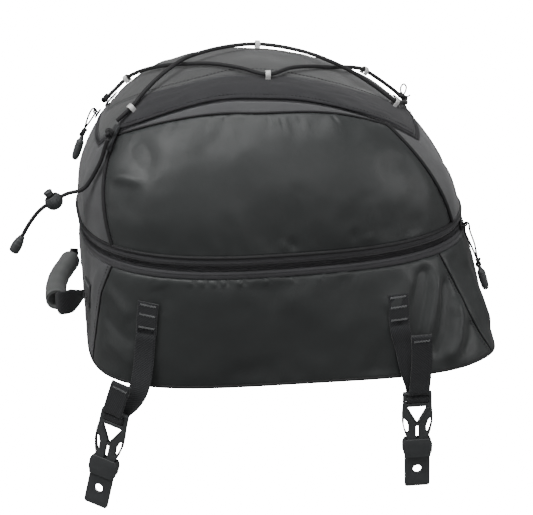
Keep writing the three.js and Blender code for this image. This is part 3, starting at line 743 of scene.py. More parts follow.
def matte_material(name, color, pitch=0.0011, depth=0.00012, sheen=0.25, wear=(0.16, 0.16, 0.17)):
    """Plain-woven polyester with uneven threads and a dusty sheen."""
    s = Shader(name, color, 0.85, Specular_IOR_Level=0.25, Sheen_Weight=sheen, Sheen_Roughness=0.5)
    clouds = s.noise(22, 4)
    slubs = s.noise(700, 2, 0.8)
    weave = s.weave(pitch)
    s.tinted(s.math("ADD", s.math("MULTIPLY", clouds, 0.5), s.math("MULTIPLY", slubs, 0.5)), 0.72, 1.3,
             s.math("MULTIPLY", s.noise(220), 0.6), wear)
    s.rough(slubs, 0.78, 0.95)
    first = s.bump(weave, depth, 0.8)
    s.bump(slubs, 0.00012, 0.5, first)
    return s.material


def webbing_material():
    """Narrow fabric with raised diagonal ribs."""
    s = Shader("webbing", (0.024, 0.025, 0.027), 0.8, Specular_IOR_Level=0.3, Sheen_Weight=0.2)
    parts = s.node("ShaderNodeSeparateXYZ", {0: s.coordinates.outputs["UV"]}).outputs
    run = s.math("ADD", s.math("MULTIPLY", parts[0], 380), s.math("MULTIPLY", parts[1], 7))
    ribs = s.math("SINE", s.math("MULTIPLY", run, 2 * math.pi))
    fuzz = s.noise(900, 2, 0.8)
    height = s.scaled(ribs, 0.0, 1.0)
    s.tinted(s.math("ADD", s.math("MULTIPLY", height, 0.55), s.math("MULTIPLY", fuzz, 0.45)), 0.6, 1.7)
    s.rough(fuzz, 0.7, 0.9)
    first = s.bump(height, 0.00022, 0.9)
    s.bump(fuzz, 0.0001, 0.5, first)
    return s.material


def trim_material(name, color):
    """Braided or covered trim."""
    s = Shader(name, color, 0.62, Specular_IOR_Level=0.35, Sheen_Weight=0.1)
    fuzz = s.noise(1100, 2, 0.7)
    s.tinted(fuzz, 0.6, 1.9)
    s.rough(fuzz, 0.5, 0.75)
    s.bump(fuzz, 0.00012, 0.7)
    return s.material


def plastic_material():
    """Moulded acetal with a spark-eroded grain and paler scuffs."""
    s = Shader("plastic", (0.050, 0.053, 0.055), 0.45, Specular_IOR_Level=0.5)
    grain = s.noise(1500, 2, 0.6)
    scuffs = s.noise(60, 6, 0.75, (1, 1, 3))
    s.tinted(scuffs, 0.8, 1.35)
    s.rough(scuffs, 0.36, 0.6)
    s.bump(grain, 0.00008, 0.45)
    return s.material


def rubber_material():
    """Soft-touch foam grip."""
    s = Shader("grip_rubber", (0.115, 0.120, 0.118), 0.5, Specular_IOR_Level=0.45, Sheen_Weight=0.15)
    clouds = s.noise(30, 5, 0.65)
    pores = s.node(
        "ShaderNodeTexVoronoi", {"Vector": s.coordinates.outputs["Object"], "Scale": 1400}
    ).outputs["Distance"]
    s.tinted(clouds, 0.75, 1.25)
    s.rough(clouds, 0.4, 0.6)
    s.bump(pores, 0.00008, 0.5)
    return s.material


def reflective_material():
    """Silver-white reflective tape with a glass-bead grain."""
    s = Shader("reflective", (0.83, 0.83, 0.82), 0.35, Specular_IOR_Level=0.6, Metallic=0.15)
    cells = s.node(
        "ShaderNodeTexVoronoi", {"Vector": s.coordinates.outputs["Object"], "Scale": 2200}
    ).outputs["Distance"]
    s.tinted(s.noise(300), 0.88, 1.05)
    s.rough(cells, 0.28, 0.5)
    s.bump(cells, 0.00006, 0.5)
    return s.material


def foam_material():
    """Closed-cell foam."""
    s = Shader("foam", (0.05, 0.05, 0.052), 0.95)
    cells = s.node(
        "ShaderNodeTexVoronoi", {"Vector": s.coordinates.outputs["Object"], "Scale": 600}
    ).outputs["Distance"]
    s.tinted(s.noise(40), 0.8, 1.2)
    s.rough(cells, 0.85, 1.0)
    s.bump(cells, 0.0003, 0.6)
    return s.material


def zinc_material():
    """Blackened die-cast metal, worn bright where it rubs."""
    s = Shader("zinc", (0.045, 0.045, 0.048), 0.38, Metallic=0.75)
    wear = s.noise(350, 5, 0.7)
    s.tinted(wear, 0.5, 2.2)
    s.rough(wear, 0.28, 0.55)
    s.bump(s.noise(1300), 0.00005, 0.4)
    return s.material


def thread_material(name, color):
    s = Shader(name, color, 0.75, Sheen_Weight=0.2)
    twist = s.noise(2600, 1)
    s.tinted(twist, 0.7, 1.25)
    s.rough(twist, 0.65, 0.85)
    s.bump(twist, 0.0001, 0.6)
    return s.material


DIM_FUZZ = (0.06, 0.06, 0.065)
TAPE_FUZZ = (0.09, 0.09, 0.095)
MAT = {
    "laminate": laminate_material(),
    "matte_fabric": matte_material("matte_fabric", (0.086, 0.087, 0.090)),
    # Painted shade: the crown's copy of the side fabric is darker, toning down the light that falls on the
    # up-facing top.
    "shaded_crown_fabric": matte_material("shaded_crown_fabric", (0.074, 0.076, 0.076)),
    "dark_fabric": matte_material("dark_fabric", (0.038, 0.038, 0.041), 0.0009, 0.0001, 0.12, DIM_FUZZ),
    "tape_fabric": matte_material("tape_fabric", (0.060, 0.060, 0.064), 0.0008, 0.0001, 0.2, TAPE_FUZZ),
    "lining": matte_material("lining", (0.060, 0.060, 0.064), 0.0007, 0.00006, 0.1, DIM_FUZZ),
    "webbing": webbing_material(),
    "black_trim": trim_material("black_trim", (0.013, 0.013, 0.014)),
    "coil": trim_material("coil", (0.050, 0.050, 0.053)),
    "pale_cord": trim_material("pale_cord", (0.16, 0.16, 0.165)),
    "plastic": plastic_material(),
    "grip_rubber": rubber_material(),
    "reflective": reflective_material(),
    "foam": foam_material(),
    "zinc": zinc_material(),
    "pale_thread": thread_material("pale_thread", (0.20, 0.205, 0.21)),
    "dark_thread": thread_material("dark_thread", (0.016, 0.016, 0.018)),
}


# ---------------------------------------------------------------- camera, lights and stage
def add_camera():
    data = bpy.data.cameras.new("camera")
    data.sensor_width = 36
    data.lens = 107.4
    camera = bpy.data.objects.new("camera", data)
    camera.location = (-0.11357, -1.53078, 0.70862)
    target = Vector((-0.0134, -0.150, 0.13119))
    camera.rotation_euler = (target - camera.location).to_track_quat("-Z", "Y").to_euler()
    bpy.context.scene.collection.objects.link(camera)
    bpy.context.scene.camera = camera


def add_area(name, location, aim, size, energy):
    data = bpy.data.lights.new(name, "AREA")
    data.shape = "DISK"
    data.size = size
    data.energy = energy
    lamp = bpy.data.objects.new(name, data)
    lamp.location = location
    lamp.rotation_euler = (Vector(aim) - Vector(location)).to_track_quat("-Z", "Y").to_euler()
    bpy.context.scene.collection.objects.link(lamp)


# Each lamp's place, width in metres and power in watts. They all aim at the middle of the bag.
LAMPS = {
    "key": ((-1.3, -0.8, 1.7), 1.2, 25),
    "top": ((0.0, -0.3, 2.0), 1.5, 20),
    "fill": ((1.9, -0.9, 0.7), 1.0, 10),
    "front": ((0.5, -2.2, 1.1), 1.2, 9),
    "left": ((-2.0, -0.4, 0.6), 1.2, 4),
    "back": ((0.6, 1.7, 1.2), 1.3, 8),
}


def add_lights():
    """The lamps, and a world that is dim as a light but plain white to the camera."""
    for name, (location, size, energy) in LAMPS.items():
        add_area(name, location, (0, 0, 0.15), size, energy)
    world = bpy.data.worlds.new("studio")
    bpy.context.scene.world = world
    world.use_nodes = True
    nodes, links = world.node_tree.nodes, world.node_tree.links
    soft = nodes["Background"]
    soft.inputs["Color"].default_value = (1, 1, 1, 1)
    soft.inputs["Strength"].default_value = 0.16
    bright = nodes.new("ShaderNodeBackground")
    bright.inputs["Color"].default_value = (1, 1, 1, 1)
    bright.inputs["Strength"].default_value = 30
    seen = nodes.new("ShaderNodeLightPath")
    mix = nodes.new("ShaderNodeMixShader")
    links.new(seen.outputs["Is Camera Ray"], mix.inputs[0])
    links.new(soft.outputs[0], mix.inputs[1])
    links.new(bright.outputs[0], mix.inputs[2])
    links.new(mix.outputs[0], nodes["World Output"].inputs["Surface"])


def add_floor():
    """A plain pale floor just below the hanging buckles."""
    level = CAD_BOX[0].z - 0.010
    edge = 4.0
    s = Shader("floor", (0.92, 0.92, 0.92), 0.9)
    s.bsdf.inputs["Emission Color"].default_value = (1, 1, 1, 1)
    s.bsdf.inputs["Emission Strength"].default_value = 20
    corners = [(-edge, -edge, level), (edge, -edge, level), (edge, edge, level), (-edge, edge, level)]
    floor = new_object("floor", corners, [(0, 1, 2, 3)], s.material)
    floor.visible_diffuse = False
    floor.visible_glossy = False


add_camera()
add_lights()
add_floor()


# ---------------------------------------------------------------- cords
# The free tail of the bungee hangs from the tail tab: x and z in the plane y = TAIL_Y, as in the CAD model.
TAIL_Y = -0.085
TAIL = [
    (-0.160, 0.230), (-0.163, 0.222), (-0.167, 0.210), (-0.1725, 0.199), (-0.1785, 0.189),
    (-0.1836, 0.1824), (-0.189, 0.179), (-0.1955, 0.1778), (-0.2028, 0.1756), (-0.214, 0.169),
    (-0.2252, 0.1624), (-0.2325, 0.1552), (-0.2395, 0.1455), (-0.246, 0.1345),
]
LOCK_INDEX = 9
LOCK_RIBS = 10


def tail_frame(index):
    """X forward, Y up across the cord and Z along it."""
    points = np.array([(x, TAIL_Y, z) for x, z in TAIL])
    along = unit(points[min(index + 1, len(TAIL) - 1)] - points[index - 1])
    forward = np.array([0.0, -1.0, 0.0])
    matrix = np.eye(4)
    matrix[:3, 0], matrix[:3, 1], matrix[:3, 2] = forward, np.cross(along, forward), along
    matrix[:3, 3] = points[index]
    return matrix


def add_cord_lock():
    """A ball-shaped cord lock: a ribbed shell, and a plunger with a domed button on top."""
    frame_up = tail_frame(LOCK_INDEX)
    up = frame_up[:3, 1].copy()
    frame_up[:3, 1], frame_up[:3, 2] = np.cross(up, frame_up[:3, 0]), up
    shell = [
        (0, -0.0086), (0.0040, -0.0080), (0.0074, -0.0046), (0.0086, 0.0), (0.0080, 0.0032), (0.0074, 0.0046),
        (0.0070, 0.0060), (0.0054, 0.0062), (0.0053, 0.0050), (0.0050, -0.0058), (0, -0.0062),
    ]
    body = lathe(shell, MAT["plastic"], "cord_lock_shell", frame_up)
    finished(body, "cord_lock", "plastic", "cord_lock_body")
    ribs = []
    for k in range(LOCK_RIBS):
        a = np.linspace(-0.9, 0.5, 9)
        spin = k / LOCK_RIBS * 2 * math.pi
        arc = np.stack([np.cos(a) * np.cos(spin), np.cos(a) * np.sin(spin), np.sin(a)], -1) * 0.0085
        ribs.append(round_cord(transformed(arc, frame_up), 0.0006, MAT["plastic"], f"rib_{k}", 6))
    finished(joined("cord_lock_ribs", ribs), "cord_lock", "plastic")
    button = [
        (0, 0.0067), (0.0042, 0.0067), (0.0042, 0.0098), (0.0046, 0.0103), (0.0047, 0.0114), (0.0036, 0.0126),
        (0, 0.0130),
    ]
    plunger = lathe(button, MAT["plastic"], "cord_lock_button", frame_up)
    finished(plunger, "lock_button", "plastic", "cord_lock_plunger")
    return [body, bpy.data.objects["cord_lock_ribs"], plunger]


def add_cord_end():
    """A moulded bell with stepped shoulders."""
    profile = [
        (0, 0.0006), (0.0026, 0.0006), (0.0034, 0.0026), (0.0036, 0.0046), (0.0044, 0.0052), (0.0048, 0.0090),
        (0.0053, 0.0096), (0.0054, 0.0174), (0.0044, 0.0198), (0, 0.0206),
    ]
    bell = lathe(profile, MAT["plastic"], "cord_end_bell", tail_frame(len(TAIL) - 1), 24)
    return finished(bell, "lid", "plastic", "cord_end")


def add_free_tail():
    on_cord = [*add_cord_lock(), add_cord_end()]
    route = smooth_curve([(x, TAIL_Y, z) for x, z in TAIL], 0.0008)
    piece = round_cord(route, BUNGEE_RADIUS, MAT["black_trim"], "bungee_free_tail", 12, 0.00012)
    finished(piece, "lid", "black_trim", "bungee_tail")


add_free_tail()


# ---------------------------------------------------------------- stitches and coils
def stitch_row(name, path, normals, thread, stitch=0.0027, gap=0.0011, thick=0.00033):
    """A row of separate short stitches lying on the cloth."""
    length = arc_length(path)
    count = max(int(length[-1] / (stitch + gap)), 1)
    starts = (np.arange(count) + 0.5) * length[-1] / count - stitch / 2
    shape = np.array([(-0.5, 0.35), (-0.38, 0.95), (0.0, 1.1), (0.38, 0.95), (0.5, 0.35)])
    sides, spans = 6, len(shape) - 1
    ring = np.arange(sides) / sides * 2 * math.pi
    points, faces = [], []
    for s in starts:
        centre = np.array([np.interp(s + stitch / 2, length, path[:, k]) for k in range(3)])
        ahead = np.array([np.interp(s + stitch, length, path[:, k]) for k in range(3)])
        out = unit(np.array([np.interp(s, length, normals[:, k]) for k in range(3)]))
        along = unit(ahead - centre)
        side = np.cross(along, out)
        base = len(points)
        for t, r in shape:
            for a in ring:
                offset = side * math.cos(a) * r * thick + out * (math.sin(a) * r * thick)
                points.append(centre + along * t * stitch + offset)
        for i in range(spans):
            here, there = base + i * sides, base + (i + 1) * sides
            for j in range(sides):
                k = (j + 1) % sides
                faces.append((here + j, there + j, there + k, here + k))
        faces.append(tuple(base + j for j in range(sides)))
        faces.append(tuple(base + spans * sides + j for j in range(sides))[::-1])
    return new_object(name, points, faces, thread)


def seam_stitches(name, body, angles, z_of, lift):
    """Topstitching along a line of the surface, where z_of gives the height at each angle."""
    angles = np.asarray(angles, float)
    z = z_of(angles) if callable(z_of) else np.broadcast_to(z_of, angles.shape)
    spots = proud(angles, z, np.full(angles.shape, lift))
    return finished(stitch_row(name, spots, normal(angles, z), MAT["dark_thread"]), body, "black_trim")


def upright_stitches(name, body, angle, low, high, lift):
    z = np.linspace(low, high, 60)
    angles = np.full(len(z), float(angle))
    return seam_stitches(name, body, angles, z, lift)


def bar_tack(name, frame, width, body, pitch=0.00075, height=0.0011):
    """A dense zigzag of pale thread across a strap, in the plane of the frame."""
    count = int(width / pitch)
    x = np.linspace(-width / 2, width / 2, count)
    wobble = 0.00025 * np.sin(np.arange(count) * 1.7)
    y = np.where(np.arange(count) % 2, height, -height) + wobble
    path = transformed(np.stack([x, y, np.zeros(count)], -1), frame)
    piece = round_cord(resampled(path, 0.0006), 0.00030, MAT["pale_thread"], name, 5)
    return finished(piece, body, "webbing")


# A zipper coil: stations on each turn, height as a share of its width, and radius of its wire.
COIL_STATIONS = 7
COIL_FLATNESS = 0.55
COIL_WIRE = 0.00034


def zip_coil(name, angles, z, lift, body, node, side, radius=0.0011, pitch=0.0017):
    """A moulded coil: a flattened helix of wire along one edge of a zipper."""
    base = resampled(proud(angles, z, np.full(len(angles), lift)), 0.002)
    length = arc_length(base)
    turns = int(length[-1] / pitch)
    s = np.linspace(0, length[-1], turns * COIL_STATIONS)
    centre = np.stack([np.interp(s, length, base[:, k]) for k in range(3)], -1)
    source = arc_length(proud(angles, z, np.full(len(angles), lift)))
    out = unit(np.stack([np.interp(s, source, normal(angles, z)[:, k]) for k in range(3)], -1))
    along = tangents(centre)
    across = np.cross(out, along) * side
    phase = np.arange(len(s)) / COIL_STATIONS * 2 * math.pi
    wide, high = np.cos(phase) * radius, np.sin(phase) * radius * COIL_FLATNESS
    path = centre + across * wide[:, None] + out * high[:, None]
    piece = swept(path, ring_section(COIL_WIRE, 4), MAT["coil"], name, frames=(along, across, out))
    return finished(piece, body, "black_trim", node)


# ---------------------------------------------------------------- lower tier
# Each fold of the lower front: its (angle, z) stops, half-width and height, negative for a valley.
LOWER_FOLDS = [
    ([(44.5, 0.110), (41, 0.086), (37.5, 0.055), (35, 0.020)], 0.0085, -0.0058),
    ([(47.5, 0.104), (44.5, 0.078), (41, 0.052), (37, 0.024)], 0.0072, 0.0046),
    ([(49.5, 0.094), (47.5, 0.066), (45, 0.042), (40.5, 0.012)], 0.0062, -0.0052),
    ([(51.5, 0.072), (50.5, 0.048), (48, 0.028), (43, 0.006)], 0.0076, 0.0056),
    ([(54.5, 0.044), (53, 0.026), (49, 0.010)], 0.0060, -0.0022),
    ([(40, 0.100), (34, 0.080), (28, 0.066)], 0.0110, 0.0020),
    ([(-64, 0.088), (-58, 0.080), (-52, 0.064)], 0.0080, 0.0016),
    ([(-63, 0.062), (-56, 0.050), (-50, 0.040)], 0.0070, -0.0016),
    ([(-62, 0.036), (-56, 0.030), (-50, 0.018)], 0.0070, 0.0014),
    ([(-30, 0.004), (-22, 0.016), (-8, 0.020)], 0.0100, -0.0016),
    ([(-46, 0.104), (-44, 0.090), (-46, 0.076)], 0.0090, -0.0014),
    ([(-10, 0.095), (6, 0.070), (18, 0.040)], 0.0200, 0.0016),
]
TIER_TOP = BAND_Z - BAND_HALF - 0.0004


def corner_bump(angle, z):
    """The pointed lower corner on the right."""
    return 0.0035 * ease(1 - np.abs(angle - 60) / 9) * ease((0.030 - z) / 0.030)


def add_lower_front():
    """The laminated front: gathers under the zipper, and drape folds towards the pointed right corner."""
    p = Panel("lower_front_shell", -CORNER, CORNER, 0.0008, TIER_TOP, 0.0021, 0, (left_seam, right_seam))
    p.slack(11, large=0.0016).puckers(12, 0.0007, 0.008)
    for stops, width, depth in LOWER_FOLDS:
        p.add_fold(stops, width, depth, 0.22)
    for angle, deep in ((-37, 14), (-33.5, 11), (-30, 16), (-27, 12), (-22, 13), (-13, 9), (-4, 7), (6, 6)):
        p.add_fold([(angle, 0.1128), (angle + 1.2, 0.103)], 0.0024, deep * 1e-4, 0.5)
        p.add_fold([(angle + 1.6, 0.1128), (angle + 2.4, 0.104)], 0.0018, deep * -1e-4, 0.5)
    p.settled()
    p.raised(corner_bump(p.angle, p.z))
    p.build(MAT["laminate"], "base", "laminate", ["lower_front_panel"])


LOWER_WALLS = [
    {
        "name": "lower_right", "span": (CORNER, REAR_CORNER), "pitch": 0.0023, "seams": (right_seam, None),
        "seed": 21, "slack": 0.0014, "fabric": "laminate",
        "folds": [
            ([(53, 0.104), (58, 0.086), (66, 0.072)], 0.007, -0.0024),
            ([(66, 0.100), (70, 0.060), (76, 0.020)], 0.010, -0.0026),
            ([(60, 0.070), (64, 0.044), (67, 0.012)], 0.007, 0.0022),
        ],
    },
    {
        "name": "lower_rear", "span": (REAR_CORNER, 360 - REAR_CORNER), "pitch": 0.0027,
        "seed": 31, "slack": 0.0018,
        "folds": [
            ([(150, 0.020), (175, 0.034), (200, 0.022)], 0.012, -0.0015),
            ([(140, 0.100), (160, 0.084), (186, 0.078)], 0.014, 0.0014),
        ],
    },
    {
        "name": "lower_left", "span": (-REAR_CORNER, -CORNER), "pitch": 0.0023, "seams": (None, left_seam),
        "seed": 41, "slack": 0.0014, "settled": 0.35,
        "folds": [
            ([(-72, 0.108), (-76, 0.070), (-78, 0.030)], 0.009, -0.0018),
            ([(-66, 0.108), (-69, 0.086), (-69, 0.060)], 0.005, 0.0014),
        ],
    },
]


def add_wall(wall, body, low, high):
    """A side or rear wall: slack cloth with gathers and folds, settled between its seams."""
    name, fabric = wall["name"], wall.get("fabric", "matte_fabric")
    seams = wall.get("seams", (None, None))
    inset = 0 if any(seams) else SEAM_INSET
    p = Panel(f"{name}_shell", *wall["span"], low, high, wall["pitch"], inset, seams)
    p.slack(wall["seed"], large=wall["slack"]).puckers(wall["seed"] + 1)
    p.raised(corner_bump(p.angle, p.z))
    for stops, width, depth in wall["folds"]:
        p.add_fold(stops, width, depth)
    p.settled(share=wall.get("settled", 0.5))
    p.build(MAT[fabric], body, fabric, [f"{name}_panel"])


def add_lower_walls():
    add_lower_front()
    for wall in LOWER_WALLS:
        add_wall(wall, "base", 0.0008, TIER_TOP)
    for name, seam in (("left", left_seam), ("right", right_seam)):
        z = np.linspace(0.004, TIER_TOP - 0.0005, 120)
        angle = seam(z)
        lift = corner_bump(angle, z) - 0.0002
        path = resampled(proud(angle, z, lift), 0.0015)
        piece = round_cord(path, 0.0009, MAT["black_trim"], f"lower_{name}_seam", 8, 0.00005)
        finished(piece, "base", "black_trim")
        beside = angle - 1.3
        stitched = proud(beside, z, lift + 0.0004)
        row = stitch_row(f"lower_{name}_stitches", stitched, normal(beside, z), MAT["dark_thread"])
        finished(row, "base", "black_trim")


def add_underside():
    """The base panel: stiffened fabric with a quilted grid of stitch lines."""
    base = Panel("underside_shell", 0, 360, 0.001, 0.004, 0.004)
    outline = skin(base.angle[:, 0], 0.0)
    centre = np.array([BASE["shift"], 0.0, 0.0])
    rings = np.linspace(0.002, 0.97, 40)
    points, uv = [], []
    for side, z in ((0, 0.0002), (1, 0.0024)):
        for share in rings:
            p = centre + (outline - centre) * share
            p[:, 2] = z + (0.0012 * ease((share - 0.93) / 0.04) if side == 0 else -0.0005 * (share > 0.96))
            points.append(p)
            uv.append(p[:, :2])
    count, stations = len(rings), len(outline)
    faces = []
    for layer in (0, 1):
        for i in range(count - 1):
            for j in range(stations):
                a, b = (layer * count + i) * stations + j, (layer * count + i) * stations + (j + 1) % stations
                face = (a, b, b + stations, a + stations)
                faces.append(face if layer else face[::-1])
    rim, rim_top = (count - 1) * stations, (2 * count - 1) * stations
    for j in range(stations):
        k = (j + 1) % stations
        faces.append((rim + j, rim + k, rim_top + k, rim_top + j))
    faces.append(tuple(range(stations))[::-1])
    faces.append(tuple(count * stations + j for j in range(stations)))
    piece = new_object("underside_fabric", np.vstack(points), faces, MAT["dark_fabric"], uv=np.vstack(uv))
    finished(piece, "base", "dark_fabric", "base_panel")
    rows = []
    x = np.linspace(-0.165, 0.195, 80)
    down = np.tile([0, 0, -1.0], (len(x), 1))
    for k, y in enumerate(np.linspace(-0.10, 0.10, 5)):
        path = np.stack([x, np.full(len(x), y), np.full(len(x), 0.0001)], -1)
        rows.append(stitch_row(f"row_{k}", path, down, MAT["dark_thread"], 0.004, 0.002, 0.0004))
    finished(joined("underside_stitching", rows), "base", "black_trim")


def add_base_binding():
    """Narrow bound edge round the bottom seam."""
    angles = np.linspace(0, 360, 721)[:-1]
    z = np.full(720, 0.0018)
    lift = 0.0001 + corner_bump(angles, z)
    path = proud(angles, z, lift)
    section_points = ring_section(1.0, 12) * [0.0010, 0.0016]
    out = normal(angles, z)
    along = tangents(path)
    frames = (along, out, np.cross(along, out))
    piece = swept(path, section_points, MAT["black_trim"], "bottom_binding", frames, closed=True)
    finished(piece, "base", "black_trim", "base_binding")


# ---------------------------------------------------------------- expansion zipper
def add_tape(name, low, high, body, node, seed):
    p = Panel(name, 0, 360, BAND_Z + low, BAND_Z + high, 0.0016)
    p.raised(0.0004 * np.sin(p.v / (high - low) * math.pi) + slackness(p.base, seed, 0.0005, 0.0002))
    p.build(MAT["tape_fabric"], body, "dark_fabric", [node], 0.0005, -0.0013, 0.0014, 0.0006)


def add_expansion_zipper():
    add_tape("lower_zip_tape", -BAND_HALF, -0.0029, "base", "expansion_tape_lower", 51)
    add_tape("upper_zip_tape", 0.0029, BAND_HALF, "upper", "expansion_tape_upper", 52)
    angles = np.linspace(0, 360, 1081)
    for name, z, body, side in (("lower", -0.0014, "base", 1), ("upper", 0.0014, "upper", -1)):
        heights = np.full(len(angles), BAND_Z + z)
        zip_coil(f"{name}_zip_coil", angles, heights, 0.0003, body, f"expansion_coil_{name}", side, 0.0013)
        seam_stitches(f"{name}_tape_stitches", body, np.linspace(0, 360, 900), BAND_Z + 3.9 * z, 0.0011)
    gusset = Panel("gusset_fabric", 0, 360, BAND_Z - 0.009, BAND_Z + 0.009, 0.0022)
    gusset.raised(0.0006 * np.cos(gusset.v / 0.003 * 2 * math.pi))
    piece = gusset.build(MAT["lining"], None, None, (), -0.0036, -0.0060)
    blended(piece, ["expansion_gusset"])


# ---------------------------------------------------------------- upper tier
UPPER_LOW = BAND_Z + BAND_HALF + 0.0004
# Pleats gathered at the top seam: angle, length and depth.
UPPER_PLEATS = [
    (-12, 0.008, 0.0006), (10, 0.010, 0.0009), (16, 0.015, 0.0012), (25, 0.013, 0.0008), (40, 0.009, 0.0010),
]
# Each fold of the upper front: its (angle, z) stops, half-width, height and how gently its ends fade.
UPPER_FOLDS = [
    ([(-57, 0.230), (-47, 0.220), (-38, 0.203)], 0.0170, -0.0034, 0.45),
    ([(-59.5, 0.196), (-51, 0.200), (-42, 0.198)], 0.0062, 0.0026, 0.40),
    ([(-58, 0.182), (-50, 0.180), (-42, 0.184)], 0.0120, -0.0012, 0.45),
    ([(0, 0.152), (1, 0.134)], 0.0046, -0.0013, 0.5),
    ([(-3, 0.150), (-3, 0.134)], 0.0050, 0.0010, 0.5),
    ([(24, 0.158), (22, 0.136)], 0.0048, -0.0013, 0.5),
    ([(28, 0.150), (27, 0.136)], 0.0050, 0.0009, 0.5),
    ([(-20, 0.235), (4, 0.215), (22, 0.185)], 0.022, 0.0016, 0.4),
]


def add_upper_front():
    p = Panel("upper_front_shell", -CORNER, CORNER, UPPER_LOW, lambda a: lens_low_z(a) - 0.0004, 0.0021)
    p.slack(61, large=0.0013).puckers(62, 0.0006, 0.008)
    for angle, tall, deep in UPPER_PLEATS:
        top = float(lens_low_z(angle)) - 0.001
        p.add_fold([(angle, top), (angle - 0.8, top - tall)], 0.0014, -deep, 0.6)
        p.add_fold([(angle + 1.7, top), (angle + 1.3, top - tall * 1.2)], 0.0026, deep * 0.6, 0.6)
    for stops, width, depth, fade in UPPER_FOLDS:
        p.add_fold(stops, width, depth, fade)
    p.settled()
    p.build(MAT["laminate"], "upper", "laminate", ["upper_front_panel"])


UPPER_WALLS = [
    {
        "name": "upper_right", "span": (CORNER, REAR_CORNER), "pitch": 0.0024,
        "seed": 71, "slack": 0.0015, "settled": 0.4,
        "folds": [([(76, 0.205), (84, 0.175), (88, 0.140)], 0.010, -0.0018)],
    },
    {
        "name": "upper_left", "span": (-REAR_CORNER, -CORNER), "pitch": 0.0024,
        "seed": 81, "slack": 0.0015, "settled": 0.4,
        "folds": [([(-66, 0.205), (-72, 0.175), (-73, 0.140)], 0.009, 0.0016)],
    },
    {
        "name": "upper_rear", "span": (REAR_CORNER, 360 - REAR_CORNER), "pitch": 0.0027,
        "seed": 91, "slack": 0.0020, "folds": [],
    },
]


def under_zip(angle):
    """The top edge of the upper tier, just under the lid's zipper."""
    return opening_z(angle) - ZIP_GAP


def add_upper_walls():
    add_upper_front()
    lens = Panel("lens_shell", -58, 58, lens_low_z, under_zip, 0.0016)
    lens.raised(0.0004 * np.sin(lens.v / np.maximum(lens.v[:, -1:], 1e-4) * math.pi))
    lens.puckers(64, 0.0003, 0.004)
    lens.build(MAT["matte_fabric"], "upper", "matte_fabric", ["upper_lens_strip"], drop=0.0008, roll=0.0015)
    for wall in UPPER_WALLS:
        add_wall(wall, "upper", UPPER_LOW, under_zip)


def pipe(name, angle, z, lift, radius, sides, braid, *nodes):
    path = resampled(proud(angle, z, np.full(len(angle), lift)), 0.0015)
    finished(round_cord(path, radius, MAT["black_trim"], name, sides, braid), "upper", "black_trim", *nodes)


def add_piping():
    """Thick black piping round the front panel: up both seams and along the zipper."""
    low = BAND_Z + BAND_HALF + 0.0016
    for name, side in (("left", -1), ("right", 1)):
        top = float(lens_low_z(side * CORNER)) + 0.001
        z = np.linspace(low, top, 160)
        angle = np.full(len(z), side * CORNER, float)
        pipe(f"{name}_seam_piping", angle, z, 0.0007, 0.0019, 12, 0.00006, f"upper_{name}_piping")
        upright_stitches(f"{name}_seam_stitches", "upper", side * (CORNER - 1.2), low, top - 0.002, 0.0002)
    angle = np.linspace(-CORNER, CORNER, 400)
    pipe("top_edge_piping", angle, lens_low_z(angle) - 0.0002, 0.0, 0.0011, 10, 0.00005)
    angle = np.linspace(-CORNER - 60, CORNER + 60, 500)
    pipe("band_piping", angle, np.full(len(angle), low - 0.0006), 0.0008, 0.0018, 12, 0.00006)


# ---------------------------------------------------------------- lid
def hood(angle):
    """How far the rain skirt hangs over the zipper: fully in front, not at all at the sides."""
    return ease((70 - from_front(angle)) / 22)


def over_zip(angle):
    """The lower edge of the lid, just over its zipper."""
    return opening_z(angle) + ZIP_GAP


def hem(angle):
    """The skirt's lower edge."""
    return over_zip(angle) - 0.0058 * hood(angle)


def add_skirt():
    """The rain skirt: its own strip of fabric in front, coloured darker as painted shade for its
    forward-facing strip, and one that runs into the crown on the left, in the crown's darker painted-shade
    copy of the side fabric.
    """
    side_skirt = Panel("side_skirt", -105, -62, hem, skirt_top_z, 0.0020)
    side_skirt.puckers(103, 0.0004)
    # Painted shade: the left part takes the crown's darker copy of the side fabric.
    side_skirt.build(MAT["shaded_crown_fabric"], "lid", "matte_fabric", [], 0.0008)
    skirt = Panel("rain_skirt", -62, 105, hem, skirt_top_z, 0.0018)
    share = skirt.v / skirt.v[:, -1:]
    skirt.raised(0.0022 * hood(skirt.angle) * (1 - share) + 0.0008 * np.sin(share * math.pi))
    skirt.lift += 0.0005 * perlin(np.stack([skirt.u / 0.02, skirt.v / 0.01, skirt.u * 0], -1), 1, 101)
    # Painted shade: the front skirt takes the darker fabric, standing in for the shade on its forward-facing
    # strip.
    fabric = MAT["dark_fabric"]
    piece = skirt.build(fabric, "lid", "dark_fabric", ["lid_skirt"], 0.0010, -FABRIC, 0.0016, 0.0008)
    lift_skirt_lining(piece, skirt)
    seam_stitches("skirt_hem_stitches", "lid", np.linspace(-61, 104, 420), lambda a: hem(a) + 0.0022, 0.0034)


# Each fold of the crown: its (angle, z) stops, half-width, height and how gently its ends fade.
CROWN_FOLDS = [
    ([(-102.5, 0.232), (-104.8, 0.244), (-109, 0.258), (-116, 0.272)], 0.0035, 0.0022, 0.2),
    ([(-106.5, 0.232), (-109, 0.244), (-114, 0.258)], 0.0055, -0.0020, 0.2),
    ([(-40, 0.262), (-52, 0.250), (-62, 0.243)], 0.007, -0.0012, 0.3),
    ([(60, 0.262), (78, 0.262), (92, 0.255)], 0.008, -0.0014, 0.3),
]


